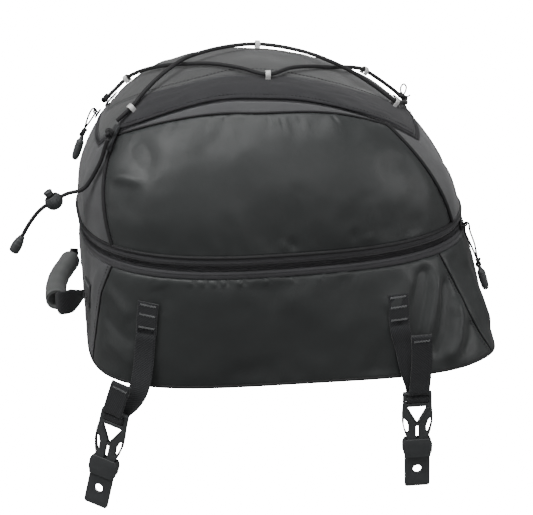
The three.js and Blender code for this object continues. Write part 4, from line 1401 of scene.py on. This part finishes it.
def add_crown():
    crown = Panel("crown_shell", 0, 360, lambda a: skirt_top_z(a) + 0.0006, "crown", 0.0030)
    crown.slack(111, large=0.0022, small=0.0005).puckers(112, 0.0006, 0.009)
    for stops, width, depth, fade in CROWN_FOLDS:
        crown.add_fold(stops, width, depth, fade)
    # Painted shade: the crown takes the darker copy of the side fabric.
    crown.build(MAT["shaded_crown_fabric"], "lid", "matte_fabric", ["lid_crown"])
    angles = np.linspace(0, 360, 900)
    seam_stitches("crown_seam_stitches", "lid", angles, lambda a: skirt_top_z(a) + 0.0036, 0.0003)


def add_lid_zipper():
    """Two coil rows, the edges of their tapes and a flap behind them that keeps the slit dark."""
    angles = np.linspace(-ZIP_END + 0.3, ZIP_END - 0.3, 900)
    for name, z, body, side in (("lower", -0.0012, "upper", 1), ("upper", 0.0012, "lid", -1)):
        zip_coil(f"{name}_lid_coil", angles, opening_z(angles) + z, 0.0002, body, f"lid_zip_{name}", side)
    for name, low, high, body in (("lower", -0.0042, -0.0008, "upper"), ("upper", 0.0008, 0.0042, "lid")):
        tape = Panel(f"{name}_lid_tape", -ZIP_END, ZIP_END, lambda a: opening_z(a) + low,
                     lambda a: opening_z(a) + high, 0.0018)
        tape.build(MAT["tape_fabric"], body, "dark_fabric", [], -0.0006, -0.0018, 0.0008, 0.0003)
    flap = Panel("zip_flap", -ZIP_END - 1, ZIP_END + 1, lambda a: opening_z(a) - 0.0055,
                 lambda a: skirt_top_z(a) + 0.003, 0.0030)
    flap.build(MAT["lining"], "lid", "dark_fabric", [], -0.0032, -0.0042, 0.001, 0.0002)


def add_lid():
    add_skirt()
    add_crown()
    rear = Panel("lid_rear_shell", 105, 255, over_zip, skirt_top_z, 0.0022)
    rear.puckers(122, 0.0004)
    rear.build(MAT["dark_fabric"], "lid", "dark_fabric", ["lid_rear_panel"])
    add_lid_zipper()
    add_hinge_fold()
    add_lid_lining()


def lift_skirt_lining(piece, skirt):
    """Where the skirt hangs over the zipper its inner face stays clear of the coil."""
    count, levels = skirt.z.shape
    layer = count * levels
    share = skirt.v / skirt.v[:, -1:]
    clear = hood(skirt.angle) * ease((0.5 - share) / 0.3) * 0.0043
    out = skirt.normal.reshape(-1, 3) * clear.reshape(-1, 1)
    for k, shift in enumerate(out):
        piece.data.vertices[layer + k].co += Vector(shift)


def add_hinge_fold():
    """The strip of fabric that joins the lid to the rear panel."""
    p = Panel("hinge_fold", ZIP_END + 1, 360 - ZIP_END - 1, LID_SIDE_Z - 0.0060, LID_SIDE_Z + 0.0060, 0.0016)
    p.raised(0.0006 * np.sin(p.v / 0.0035))
    piece = p.build(MAT["dark_fabric"], None, None, (), -0.0004, -0.0018, 0.0012, 0.0004)
    blended(piece, [])


def add_lid_lining():
    """A quilted foam pad under the crown."""
    p = Panel("lid_pad", 0, 360, 0.262, "crown", 0.0045)
    quilt = np.abs(np.sin(p.base[..., 0] / 0.022 * math.pi) * np.sin(p.base[..., 1] / 0.022 * math.pi))
    p.raised(-0.0010 + 0.0003 * quilt)
    pad = p.build(MAT["foam"], "lid", "foam", ["lid_foam"], -FABRIC - 0.002, -0.009)


# ---------------------------------------------------------------- bungee lacing
# The cord's way over the lid: (angle, z, lift), with a name where it runs through a sewn loop.
LACING = [
    (-103, 0.231, 0.0054, None), (-107, 0.247, 0.0056, "mid_left"), (-65, 0.2815, 0.003, None),
    (21, 0.2805, 0.0054, "front_centre"), (86, 0.274, 0.003, None), (111, 0.254, 0.0056, "mid_right"),
    (105, 0.229, 0.0054, None), (96, 0.227, 0.006, None), (83, 0.239, 0.0054, "front_right"),
    (86, 0.2745, 0.0084, None), (146, 0.2886, 0.0054, "rear_centre"), (-65, 0.282, 0.0084, None),
    (-58, 0.250, 0.0054, "front_left"), (-60, 0.238, 0.0072, None),
]
HEART = np.array([-0.014, 0.0, 0.150])
LACING_STEP = 0.026


def inside_skin(point):
    if point[2] >= CROWN_Z:
        return False
    s = section(np.array(point[2]))
    x, y = point[0] - s["shift"], point[1]
    cos, sin = math.cos(-math.radians(s["twist"])), math.sin(-math.radians(s["twist"]))
    x, y = x * cos - y * sin, x * sin + y * cos
    depth = s["front"] if y < 0 else s["rear"]
    return abs(x / s["width"]) ** s["square"] + abs(y / depth) ** s["square"] < 1


def onto_skin(point, lift):
    """Pushes a point from the middle of the bag out to the surface, then stands it proud."""
    ray = point - HEART
    low, high = 0.3, 3.0
    for _ in range(40):
        middle = (low + high) / 2
        low, high = (middle, high) if inside_skin(HEART + ray * middle) else (low, middle)
    return HEART + ray * (low + lift / np.linalg.norm(ray))


def lacing_points():
    points = []
    for k, (angle, z, lift, _) in enumerate(LACING):
        here = proud(angle, z, lift)
        if k:
            last = LACING[k - 1]
            before = proud(last[0], last[1], last[2])
            spans = max(round(np.linalg.norm(here - before) / LACING_STEP), 1)
            for i in range(1, spans):
                t = i / spans
                rise = last[2] + (lift - last[2]) * t * t * (3 - 2 * t)
                points.append(onto_skin(before + (here - before) * t, rise))
        points.append(here)
    return points


def sewn_loop(name, angle, z, lift, path):
    """A reflective loop: a tape that arches over the cord, with its feet sewn to the lid."""
    centre = proud(angle, z, lift)
    nearest = int(np.argmin(np.linalg.norm(path - centre, axis=1)))
    along = unit(path[nearest + 4] - path[nearest - 4])
    out = normal(angle, z)
    side = unit(np.cross(out, along))
    up = np.cross(along, side)
    arc = np.linspace(0, math.pi, 17)
    radius = 0.0034
    foot = -lift + 0.0012
    profile = [(radius, foot), *zip(radius * np.cos(arc), radius * np.sin(arc)), (-radius, foot)]
    line = smooth_curve([centre + side * x + up * y for x, y in profile], 0.0005)
    t = tangents(line)
    across = np.broadcast_to(along, t.shape)
    tape = tape_section(0.0025, 0.0009)
    piece = swept(line, tape, MAT["reflective"], f"{name}_tape", (t, across, np.cross(t, across)))
    finished(piece, "lid", "reflective", f"loop_{name}")


def tape_section(half, thick, points=7):
    """A flat strip with rounded selvedges: x across, y through."""
    x = np.linspace(-half + thick / 2, half - thick / 2, points)
    top = np.stack([x, np.full(points, thick / 2)], -1)
    a = np.linspace(math.pi / 2, -math.pi / 2, 5)[1:-1]
    right = np.stack([half - thick / 2 + np.cos(a) * thick / 2, np.sin(a) * thick / 2], -1)
    return np.vstack([top, right, -top, -right])


def add_patch(name, angle, half_angle, low, high, lift, thick, body, node, pitch=0.0012):
    p = Panel(name, angle - half_angle, angle + half_angle, low, high, pitch)
    across = p.u / np.maximum(p.u[-1:], 1e-6)
    p.raised(0.00015 * np.sin(across * 9 * math.pi) ** 2)
    return p.build(MAT["webbing"], body, "webbing", [node], lift + thick, lift, 0.0009, 0.0006)


def knot(name, centre, across, size, radius, body):
    """A tight overhand knot, as a trefoil of cord."""
    t = np.linspace(0, 2 * math.pi, 90, endpoint=False)
    shape = np.stack([np.sin(t) + 2 * np.sin(2 * t), np.cos(t) - 2 * np.cos(2 * t), -np.sin(3 * t)], -1)
    matrix = np.eye(4)
    z_axis = unit(np.asarray(across, float))
    x_axis = unit(np.cross([0.3, 0.1, 1.0], z_axis))
    matrix[:3, 0], matrix[:3, 1], matrix[:3, 2] = x_axis, np.cross(z_axis, x_axis), z_axis
    matrix[:3, 3] = centre
    path = transformed(shape * size / 3, matrix)
    path = resampled(np.vstack([path, path[:1]]), size / 12)[:-1]
    piece = round_cord(path, radius, MAT["black_trim"], name, 9, radius * 0.05, closed=True)
    return finished(piece, body, "black_trim")


def add_lacing():
    path = smooth_curve(lacing_points(), 0.0008)
    cord = round_cord(path, BUNGEE_RADIUS, MAT["black_trim"], "bungee_lacing", 12, 0.00012)
    finished(cord, "lid", "black_trim", "bungee_cord")
    for angle, z, lift, name in LACING:
        if name:
            sewn_loop(name, angle, z, lift, path)
    add_patch("left_tab", -103, 2.2, 0.225, 0.237, 0.001, 0.0016, "lid", "bungee_tab_left")
    add_patch("right_tab", 100, 2.6, 0.222, 0.234, 0.001, 0.0016, "lid", "bungee_tab_right")
    add_patch("tail_tab", -60, 2, 0.216, 0.236, 0.0032, 0.0018, "lid", "bungee_tab_tail")
    knot("right_cord_knot", proud(100.5, 0.229, 0.0066), normal(100.5, 0.229), 0.0046, 0.0018, "lid")
    start = proud(100.5, 0.229, 0.0076)
    loop = [
        (0, 0.001), (-0.0026, 0.005), (-0.0022, 0.0098), (0.0006, 0.0122), (0.0030, 0.0094), (0.0022, 0.0045),
        (0, 0.001),
    ]
    ends = [(0.001, 0.0), (0.0046, -0.0006), (0.0074, 0.0010)]
    for name, stops in (("right_cord_loop", loop), ("right_cord_stub", ends)):
        line = smooth_curve([start + np.array([x, 0.15 * z, z]) for x, z in stops], 0.0008)
        piece = round_cord(line, 0.0009, MAT["pale_cord"], name, 8, 0.00006)
        finished(piece, "lid", "black_trim")
    knot("left_cord_knot", proud(-103.5, 0.229, 0.0060), normal(-103.5, 0.229), 0.0044, 0.0018, "lid")
    knot("tail_knot", proud(-60, 0.2285, 0.0088), normal(-60, 0.229), 0.0040, 0.0017, "lid")


# ---------------------------------------------------------------- moulded plates
def rounded(outline, radius, steps=4):
    """Rounds the corners of a closed outline with short curves."""
    p = np.asarray(outline, float)
    made = []
    for k in range(len(p)):
        before, here, after = p[k - 1], p[k], p[(k + 1) % len(p)]
        cut_a = min(radius, 0.45 * np.linalg.norm(before - here))
        cut_b = min(radius, 0.45 * np.linalg.norm(after - here))
        a = here + unit(before - here) * cut_a
        b = here + unit(after - here) * cut_b
        for t in np.linspace(0, 1, steps):
            made.append((1 - t) ** 2 * a + 2 * t * (1 - t) * here + t**2 * b)
    return np.array(made)


def scaled_outline(points):
    """An outline given in millimetres."""
    return [(x * 0.001, y * 0.001) for x, y in points]


def mirrored(half):
    return [*half, *[(-x, y) for x, y in reversed(half)]]


def rectangle(x0, y0, x1, y1):
    return [(x0, y0), (x1, y0), (x1, y1), (x0, y1)]


def circle(radius, sides, cx, cy):
    turns = np.arange(sides) / sides * 2 * math.pi
    return [(cx + radius * math.cos(a), cy + radius * math.sin(a)) for a in turns]


def moulded_plate(name, outline, thick, matrix, material, holes=(), bevel=0.0005, corner=0.001, z=0.0):
    """A flat moulding with holes and softly rounded edges, centred on local z."""
    data = bpy.data.curves.new(name, "CURVE")
    data.dimensions = "2D"
    data.fill_mode = "BOTH"
    data.extrude = thick / 2 - bevel
    data.bevel_depth = bevel
    data.bevel_resolution = 2
    data.offset = -bevel
    for ring in [rounded(outline, corner), *[rounded(hole, corner * 0.6) for hole in holes]]:
        spline = data.splines.new("POLY")
        spline.points.add(len(ring) - 1)
        for point, (x, y) in zip(spline.points, ring):
            point.co = (x, y, 0, 1)
        spline.use_cyclic_u = True
    curve = bpy.data.objects.new(name, data)
    bpy.context.scene.collection.objects.link(curve)
    bpy.context.view_layer.update()
    mesh = bpy.data.meshes.new_from_object(curve.evaluated_get(bpy.context.evaluated_depsgraph_get()))
    bpy.data.objects.remove(curve)
    weld(mesh)
    mesh.transform(Matrix.Translation((0, 0, z)))
    mesh.transform(Matrix(matrix.tolist()))
    mesh.polygons.foreach_set("use_smooth", [True] * len(mesh.polygons))
    mesh.materials.clear()
    mesh.materials.append(material)
    mesh.name = name
    piece = bpy.data.objects.new(name, mesh)
    bpy.context.scene.collection.objects.link(piece)
    return sharp_by_angle(piece, 40)


# ---------------------------------------------------------------- zipper sliders and pulls
SLIDER_LIFT = 0.0021
# Stations of the pull's cord loop: drop below the bar, sideways offset and lift off the bag.
PULL_LOOP = [
    (0.022, -0.0008, 0.0072), (0.018, -0.0016, 0.0066), (0.014, -0.0018, 0.0060), (0.008, -0.0010, 0.0055),
    (0.003, -0.0002, 0.0054), (0.0, 0.0, 0.0056), (-0.0018, 0.0, 0.0061), (-0.0025, 0.0, 0.0079),
    (-0.0018, 0.0, 0.0097), (0.0, 0.0, 0.0104), (0.006, 0.0010, 0.0100), (0.014, 0.0018, 0.0086),
    (0.018, 0.0016, 0.0078), (0.022, 0.0008, 0.0072),
]
PULL_LOOP_DROP = 0.022
NEAR_BAR = 0.009  # stops nearer to the bar than this keep their place when the loop is made longer or shorter
SPARE_STOP_DROP = 0.008  # a shorter loop does without this stop


def pull_point(angle, z, drop, side, lift):
    if drop < NEAR_BAR:
        return transformed([side, -drop, lift], surface_frame(angle, z, 0.0))
    return proud(angle + side / METRES_PER_DEGREE, z - drop, lift)


def add_slider(name, angle, z, loop_drop, reach, body, pull_body):
    matrix = surface_frame(angle, z, SLIDER_LIFT)
    plate = scaled_outline([
        (-6.5, -3.4), (-3.0, -4.5), (3.2, -4.5), (6.5, -2.6), (6.5, 2.6), (3.2, 4.5), (-3.0, 4.5),
        (-6.5, 3.4),
    ])
    foot = moulded_plate(f"{name}_foot", plate, 0.0019, matrix, MAT["zinc"], z=0.0010, bevel=0.0004)
    lay = matrix.copy()
    lay[:3, :3] = np.stack([matrix[:3, 0], matrix[:3, 2], -matrix[:3, 1]], 1)
    arch = scaled_outline([(-4.6, 1.4), (-4.2, 4.8), (-2.6, 6.6), (2.6, 6.6), (4.2, 4.8), (4.6, 1.4)])
    gap = scaled_outline([(-2.7, 1.9), (-2.7, 4.2), (-1.6, 5.1), (1.6, 5.1), (2.7, 4.2), (2.7, 1.9)])
    bridge = moulded_plate(f"{name}_bridge", arch, 0.0017, lay, MAT["zinc"], [gap], 0.0004)
    finished(joined(f"{name}_slider_body", [foot, bridge]), body, "zinc", f"{name}_slider")
    share = loop_drop / PULL_LOOP_DROP
    stops = [(drop * share if drop > NEAR_BAR else drop, *rest) for drop, *rest in PULL_LOOP]
    if share <= 1:
        stops = [stop for stop in stops if stop[0] != SPARE_STOP_DROP]
    route = smooth_curve([pull_point(angle, z, *stop) for stop in stops], 0.0008)
    loop = round_cord(route, 0.0010, MAT["black_trim"], f"{name}_pull_loop", 8, 0.00008)
    finished(loop, pull_body, "black_trim", f"{name}_pull_cord")
    top = pull_point(angle, z, loop_drop + 0.0006, 0.0, 0.0072)
    bottom = pull_point(angle, z, reach, 0.0, 0.0072)
    down = unit(bottom - top)
    knot(f"{name}_pull_knot", top + down * 0.0030, normal(angle, z), 0.0042, 0.0014, pull_body)
    tip = np.eye(4)
    tip[:3, 2] = down
    tip[:3, 0] = unit(np.cross(down, normal(angle, z)))
    tip[:3, 1] = np.cross(down, tip[:3, 0])
    tip[:3, 3] = top
    length = float(np.linalg.norm(bottom - top))
    profile = [
        (0, 0.0060), (0.0017, 0.0062), (0.0020, 0.0085), (0.0026, 0.0110), (0.0038, 0.0124),
        (0.0044, 0.0142), (0.0040, 0.0154), (0.0044, 0.0166), (0.0040, 0.0178), (0.0044, 0.0190),
        (0.0040, length - 0.005), (0.0028, length - 0.0009), (0, length),
    ]
    piece = lathe(profile, MAT["plastic"], f"{name}_pull_grip", tip, 24)
    finished(piece, pull_body, "plastic", f"{name}_pull_tip")


# ---------------------------------------------------------------- side grab handle
HANDLE_Z = 0.066
GRIP_RADIUS = 0.0105
HANDLE_ROUTE = [
    (-0.2167, -0.0875), (-0.2185, -0.066), (-0.218, -0.042), (-0.2155, -0.022), (-0.2115, -0.005),
    (-0.2074, 0.014),
]
HANDLE_FRONT = [(-0.1902, -0.072), (-0.196, -0.083), (-0.204, -0.0925), (-0.212, -0.095), (-0.2166, -0.0896)]
HANDLE_REAR = [(-0.2072, 0.0164), (-0.2054, 0.024), (-0.203, 0.031), (-0.2008, 0.038)]


def add_grip():
    """A thick soft tube, hollow at both ends, with shallow finger waves."""
    step, wave = 0.0015, 0.021
    path = smooth_curve([(x, y, HANDLE_Z) for x, y in HANDLE_ROUTE], step)
    along = tangents(path)
    count = len(path)
    ends_in = [4, 2, 0, 0, 0, 0, 1]
    ends_scale = [0.62, 0.66, 0.70, 0.80, 0.93, 0.98, 1.0]
    order = ends_in + list(range(2, count - 2)) + [count - 1 - k for k in reversed(ends_in)]
    turns = [k * step / wave * 2 * math.pi for k in range(2, count - 2)]
    waves = [1 - 0.022 * (0.5 + 0.5 * math.cos(turn)) for turn in turns]
    scale = ends_scale + waves + ends_scale[::-1]
    push = np.zeros(len(order))
    push[2:5] = [0.0002, 0.0, 0.0004]
    push[-5:-2] = [-0.0004, 0.0, -0.0002]
    line = path[order] + along[order] * push[:, None]
    side = np.cross(along[order], UP)
    up = np.broadcast_to(UP, side.shape)
    a = np.arange(36) / 36 * 2 * math.pi
    oval = np.stack([np.cos(a), np.sin(a)], -1) * GRIP_RADIUS
    piece = swept(line, oval, MAT["grip_rubber"], "grab_grip", (along[order], side, up), scale)
    finished(piece, "handle", "grip_rubber", "handle_grip")
    seam = path[3:-3] + np.cross(along, UP)[3:-3] * GRIP_RADIUS * 0.985
    finished(round_cord(seam, 0.0004, MAT["grip_rubber"], "grip_mould_line", 6), "handle", "grip_rubber")


def strap_sweep(name, points, across, half, thick):
    """A webbing ribbon through points, with its width direction given at each of them."""
    line = np.asarray(points, float)
    along = tangents(line)
    wide = unit(across - along * np.sum(across * along, axis=1)[:, None])
    face = np.cross(wide, along)
    half = np.broadcast_to(half, len(line))
    edge = thick / 2
    x = np.concatenate([np.linspace(-1, 1, 15), [1.0, 1.0], np.linspace(1, -1, 15), [-1.0, -1.0]])
    y = np.concatenate([np.full(15, 1.0), [0.5, -0.5], np.full(15, -1.0), [-0.5, 0.5]])
    bead = np.where(np.abs(x) > 0.9, 1.12, 1.0)
    tape = np.stack([x[None] * half[:, None], np.broadcast_to(y * bead * edge, (len(line), len(y)))], -1)
    piece = swept(line, tape, MAT["webbing"], name, (along, wide, face))
    uv = piece.data.uv_layers[0]
    loops = np.zeros(len(piece.data.loops), np.int32)
    piece.data.loops.foreach_get("vertex_index", loops)
    run = arc_length(line)
    per_vertex = np.stack(np.broadcast_arrays(run[:, None], (x[None] + 1) / 2), -1).reshape(-1, 2)
    uv.data.foreach_set("uv", per_vertex.astype(np.float32)[loops].ravel())
    return piece


def add_handle():
    add_grip()
    for name, route in (("front", HANDLE_FRONT), ("rear", HANDLE_REAR[::-1])):
        line = smooth_curve([(x, y, HANDLE_Z) for x, y in route], 0.0010)
        from_anchor = arc_length(line)
        half = np.minimum(0.0032 + 0.42 * from_anchor, 0.0122)
        half = half - 0.0045 * ease((from_anchor - from_anchor[-1] + 0.007) / 0.007)
        across = np.broadcast_to(UP, line.shape)
        piece = strap_sweep(f"grab_web_{name}", line, across, half, 0.0024)
        nodes = [f"handle_webbing_{name}"]
        blended(piece, nodes)
        hold = flat_frame(line[3] + np.cross(UP, tangents(line)[3]) * 0.0016, tangents(line)[3], UP)
        bar_tack(f"grab_tack_{name}", hold, 0.0060, "base")
    for name, angle in (("front", -75), ("rear", -106)):
        low, high = HANDLE_Z - 0.013, HANDLE_Z + 0.013
        add_patch(f"grab_patch_{name}", angle, 3.5, low, high, 0.0005, 0.0018, "base", f"handle_patch_{name}")
        rows = []
        for k, z in enumerate((low + 0.0018, low + 0.0034, high - 0.0034, high - 0.0018)):
            angles = np.linspace(angle - 3.0, angle + 3.0, 30)
            spots = proud(angles, z, np.full(30, 0.0025))
            out = normal(angles, z)
            rows.append(stitch_row(f"patch_row_{k}", spots, out, MAT["pale_thread"], 0.0016, 0.0004, 0.0004))
        finished(joined(f"grab_stitches_{name}", rows), "base", "webbing")


# ---------------------------------------------------------------- straps and buckles
# Each strap's stations as (x, z): the sewn anchor and the webbing run down, and the loose tail runs back up.
# The buckle hangs from the pivot, leaning and turned by degrees, in the plane y = plane.
STRAPS = {
    "right": {
        "anchor": [(0.115, 0.084), (0.1155, 0.075), (0.116, 0.066), (0.1165, 0.0538)],
        "webbing": [
            (0.117, 0.0496), (0.121, 0.036), (0.125, 0.019), (0.129, 0.003), (0.1312, -0.003),
            (0.1326, -0.009),
        ],
        "tail": [(0.1348, -0.013), (0.1362, 0.002), (0.1368, 0.020), (0.1364, 0.034), (0.1354, 0.048)],
        "pivot": (0.1345, -0.020), "lean": 2, "turn": 0, "plane": -0.157,
    },
    "left": {
        "anchor": [(-0.126, 0.086), (-0.127, 0.077), (-0.128, 0.068), (-0.129, 0.055)],
        "webbing": [
            (-0.1295, 0.0515), (-0.131, 0.038), (-0.133, 0.021), (-0.137, 0.004), (-0.143, -0.007),
            (-0.152, -0.016),
        ],
        "tail": [(-0.1615, -0.021), (-0.159, -0.011), (-0.1555, 0.0), (-0.1525, 0.009)],
        "pivot": (-0.162, -0.027), "lean": -13, "turn": 25, "plane": -0.163,
    },
}
ANCHOR_LIFT = 0.0015
STRAP_LIFT = 0.0028
TAIL_LIFT = 0.005
HINGE_Z = {"right": 0.0517, "left": 0.0534}  # where a strap leaves its anchor


def buckle_matrix(strap):
    """Local X runs across the buckle, Y up the strap and Z to the front."""
    frame_of = Matrix.Rotation(math.radians(-strap["lean"]), 4, "Y") @ Matrix.Rotation(math.pi / 2, 4, "X")
    frame_of = frame_of @ Matrix.Rotation(math.radians(-strap["turn"]), 4, "Y")
    px, pz = strap["pivot"]
    return np.array(Matrix.Translation((px, strap["plane"], pz)) @ frame_of)


def strap_point(x, z, lift, plane):
    if z < 0:
        return np.array([x, plane, z])
    p = proud(angle_at_x(x, z), z, lift)
    share = max(1 - z / 0.030, 0)
    return np.array([x, p[1] + (min(plane, p[1]) - p[1]) * share, z])


def along_outline(x, z):
    angle = angle_at_x(x, max(z, 0.001))
    return unit(skin(angle + 1, max(z, 0.001)) - skin(angle - 1, max(z, 0.001)))


def threaded_route(strap, matrix):
    """The strap's centre line from its anchor, through the ladder lock, to its loose end."""
    points, across = [], []
    plane = strap["plane"]
    for x, z in strap["anchor"]:
        points.append(strap_point(x, z, ANCHOR_LIFT, plane))
        across.append(along_outline(x, z))
    for k, (x, z) in enumerate(strap["webbing"]):
        t = k / (len(strap["webbing"]) - 1)
        points.append(strap_point(x, z, STRAP_LIFT, plane))
        across.append(unit(along_outline(x, z) * (1 - t) + matrix[:3, 0] * t))
    lock = [(0, 5, -4.8), (0, 0, -5.2), (0, -3.0, -4.0), (0, -3.7, -0.5), (0, -2.0, 3.2)]
    lock += [(0, 0, 3.7), (0, 1.8, 3.2), (0, 3.3, -0.2), (0, 5.0, -2.4), (0, 6.6, 1.8)]
    for stop in lock:
        points.append(transformed(np.array(stop) * 0.001, matrix))
        across.append(matrix[:3, 0])
    for x, z in strap["tail"]:
        points.append(np.array([x, plane, z]) + matrix[:3, 2] * TAIL_LIFT)
        across.append(matrix[:3, 0])
    return np.array(points), np.array(across)


def curved_ribbon(points, across, spacing=0.0009):
    dense = smooth_curve(np.hstack([points, across * 0.01]), spacing)
    return dense[:, :3], unit(dense[:, 3:])


def add_strap(side):
    """One length of webbing: sewn down at the anchor, through the buckle, and back up as a loose end."""
    strap = STRAPS[side]
    matrix = buckle_matrix(strap)
    points, across = threaded_route(strap, matrix)
    line, wide = curved_ribbon(points, across)
    hinge_z = HINGE_Z[side]
    split = int(np.argmax(line[:, 2] < strap["webbing"][-1][1]))
    top = int(np.argmax(line[:, 2] < hinge_z + 0.010))
    run = slice(top, split + 1)
    upper = strap_sweep(f"strap_{side}_upper", line[run], wide[run], WEBBING_HALF, WEBBING_THICK)
    blended(upper, [f"strap_{side}_webbing"])
    route, turned = fold_tip(line[split:], wide[split:])
    lower = strap_sweep(f"strap_{side}_lower", route, turned, WEBBING_HALF, WEBBING_THICK)
    blended(lower, [f"strap_{side}_tail"])
    add_anchor(side, line, wide)
    add_tip_stitches(side, line, wide)


def fold_tip(line, wide):
    """The loose end is turned back on itself behind and sewn."""
    along = unit(line[-1] - line[-4])
    back = unit(np.cross(wide[-1], along))
    back = -back if back[1] < 0 else back
    bend = [line[-1] + along * 0.0012 + back * 0.0006, line[-1] + along * 0.0014 + back * 0.0014]
    bend += [line[-1] + back * 0.0020 - along * 0.001, line[-1] + back * 0.0020 - along * 0.009]
    return np.vstack([line, bend]), np.vstack([wide, np.tile(wide[-1], (len(bend), 1))])


def flat_frame(centre, along, across):
    matrix = np.eye(4)
    x_axis = unit(across - along * (across @ along))
    matrix[:3, 0], matrix[:3, 1] = x_axis, along
    matrix[:3, 2] = np.cross(x_axis, along)
    matrix[:3, 3] = centre
    return matrix


def add_anchor(side, line, wide):
    """The end of a strap sewn to the bag: two plies of webbing with three bar tacks."""
    height = line[:, 2]
    last = int(np.argmax(height < HINGE_Z[side] + 0.0015))
    out = np.array([0, -1.0, 0])
    run = slice(last + 1)
    ply = strap_sweep(f"anchor_{side}_ply", line[run], wide[run], WEBBING_HALF * 1.04, WEBBING_THICK)
    finished(ply, "base", "webbing", f"strap_{side}_anchor")
    for k, drop in enumerate((0.0025, 0.0120, 0.0245)):
        i = int(np.argmax(height < height[0] - drop))
        along = unit(line[i - 2] - line[i + 2])
        place = flat_frame(line[i] + out * (WEBBING_THICK / 2 + 0.0003), along, wide[i])
        bar_tack(f"anchor_{side}_tack_{k}", place, 0.0165, "base")


def add_tip_stitches(side, line, wide):
    i = len(line) - 5
    along = unit(line[-1] - line[-6])
    frame = flat_frame(line[i] + np.array([0, -WEBBING_THICK / 2 - 0.0004, 0]), along, wide[i])
    bar_tack(f"strap_{side}_tip_tack", frame, 0.0150, f"strap_{side}")


def add_male(side, matrix):
    """Ladder lock, V-shaped arms between open side rails, a split guide and two prongs."""
    half = scaled_outline([
        (14.2, 7), (14.4, -8), (15.2, -16), (15.2, -26), (13.2, -36), (10.8, -43), (10.4, -56), (8.6, -59),
        (6.8, -57), (6.2, -47), (4.2, -47), (4.2, -56), (2.8, -58),
    ])
    slots = [rectangle(-0.0108, 0.0018, 0.0108, 0.0044), rectangle(-0.0108, -0.0046, 0.0108, -0.0020)]
    window = scaled_outline([(-10.2, -8.6), (0, -27), (10.2, -8.6)])
    rail = scaled_outline([
        (10.8, -24), (8.8, -30), (8.9, -36.5), (10.2, -38), (12.2, -33), (13.6, -27), (13.4, -21),
    ])
    other_rail = [(-x, y) for x, y in reversed(rail)]
    split = rectangle(-0.0015, -0.045, 0.0015, -0.030)
    plate = moulded_plate(f"male_{side}_plate", mirrored(half), 0.0048, matrix, MAT["plastic"],
                          [*slots, window, rail, other_rail, split], 0.0007, 0.0012)
    bars = []
    for k, (y, z, radius) in enumerate(((0.0058, 0.0010, 0.0018), (-0.0001, 0.0004, 0.0014))):
        bar = transformed([(-0.0132, y, z), (0.0132, y, z)], matrix)
        bars.append(round_cord(resampled(bar, 0.002), radius, MAT["plastic"], f"bar_{k}", 16))
    ribs = [((-9.6, -9.6), (-1.2, -25.4)), ((9.6, -9.6), (1.2, -25.4))]
    for k, (start, end) in enumerate(ribs):
        ends = [(start[0] * 1.12e-3, start[1] * 1e-3, 0.0020), (end[0] * 1e-3, end[1] * 1.04e-3, 0.0020)]
        rib = resampled(transformed(ends, matrix), 0.002)
        bars.append(round_cord(rib, 0.0009, MAT["plastic"], f"rib_{k}", 10))
    moulding = joined(f"male_{side}_moulding", [plate, *bars])
    finished(moulding, f"buckle_{side}", "plastic", f"buckle_{side}_male")


def add_bracket(side, matrix):
    """Socket half, hollow to take the prongs, on a flat plate with a bolt hole."""
    hole_y, hole_radius, collar_radius = -0.079, 0.0042, 0.0050
    face = scaled_outline(mirrored([(12.6, -44), (14.8, -49), (14.6, -58), (12.8, -62), (12.8, -64.5)]))
    wall = scaled_outline([
        (11.5, -44.4), (12.6, -44.4), (14.4, -49), (14.3, -58), (12.6, -61.5), (11.5, -61.5),
    ])
    other_wall = [(-x, y) for x, y in reversed(wall)]
    floor = rectangle(-0.0125, -0.0645, 0.0125, -0.0606)
    flat = scaled_outline(mirrored([(12.8, -62), (12.8, -96.5), (11.2, -98.5)]))
    hole = circle(hole_radius, 32, 0, hole_y)
    plates = [
        ("face_0", face, 0.0017, [], 0.0006, 0.0012, 0.00365),
        ("face_1", face, 0.0017, [], 0.0006, 0.0012, -0.00365),
        ("wall_0", other_wall, 0.0072, [], 0.0003, 0.0004, 0.0),
        ("wall_1", wall, 0.0072, [], 0.0003, 0.0004, 0.0),
        ("floor_wall", floor, 0.0088, [], 0.0014, 0.0008, 0.0),
        ("bolt_plate", flat, 0.0030, [hole], 0.0006, 0.0012, 0.0),
    ]
    shells = [
        moulded_plate(name, outline, thick, matrix, MAT["plastic"], holes, bevel, corner, z)
        for name, outline, thick, holes, bevel, corner, z in plates
    ]
    turn = np.linspace(0, 2 * math.pi, 41)[:-1]
    across, along = collar_radius * np.cos(turn), hole_y + collar_radius * np.sin(turn)
    collar = np.stack([across, along, np.full(len(turn), 0.0014)], -1)
    shells.append(round_cord(transformed(collar, matrix), 0.0005, MAT["plastic"], "collar", 8, closed=True))
    moulding = joined(f"bracket_{side}_moulding", shells)
    finished(moulding, f"bracket_{side}", "plastic", f"buckle_{side}_bracket")


# ---------------------------------------------------------------- assembly
add_underside()
add_base_binding()
add_lower_walls()
add_expansion_zipper()
add_upper_walls()
add_piping()
add_lid()
add_lacing()
add_slider("expansion", 66, BAND_Z, 0.036, 0.068, "expansion_slider", "expansion_pull")
add_slider("lid", -102, LID_SIDE_Z, 0.017, 0.047, "lid_slider", "lid_pull")
add_handle()
for strap_side in STRAPS:
    add_strap(strap_side)
    buckle = buckle_matrix(STRAPS[strap_side])
    add_male(strap_side, buckle)
    add_bracket(strap_side, buckle)
frame["nodes"]["base_board"].data.materials.clear()
frame["nodes"]["base_board"].data.materials.append(MAT["foam"])
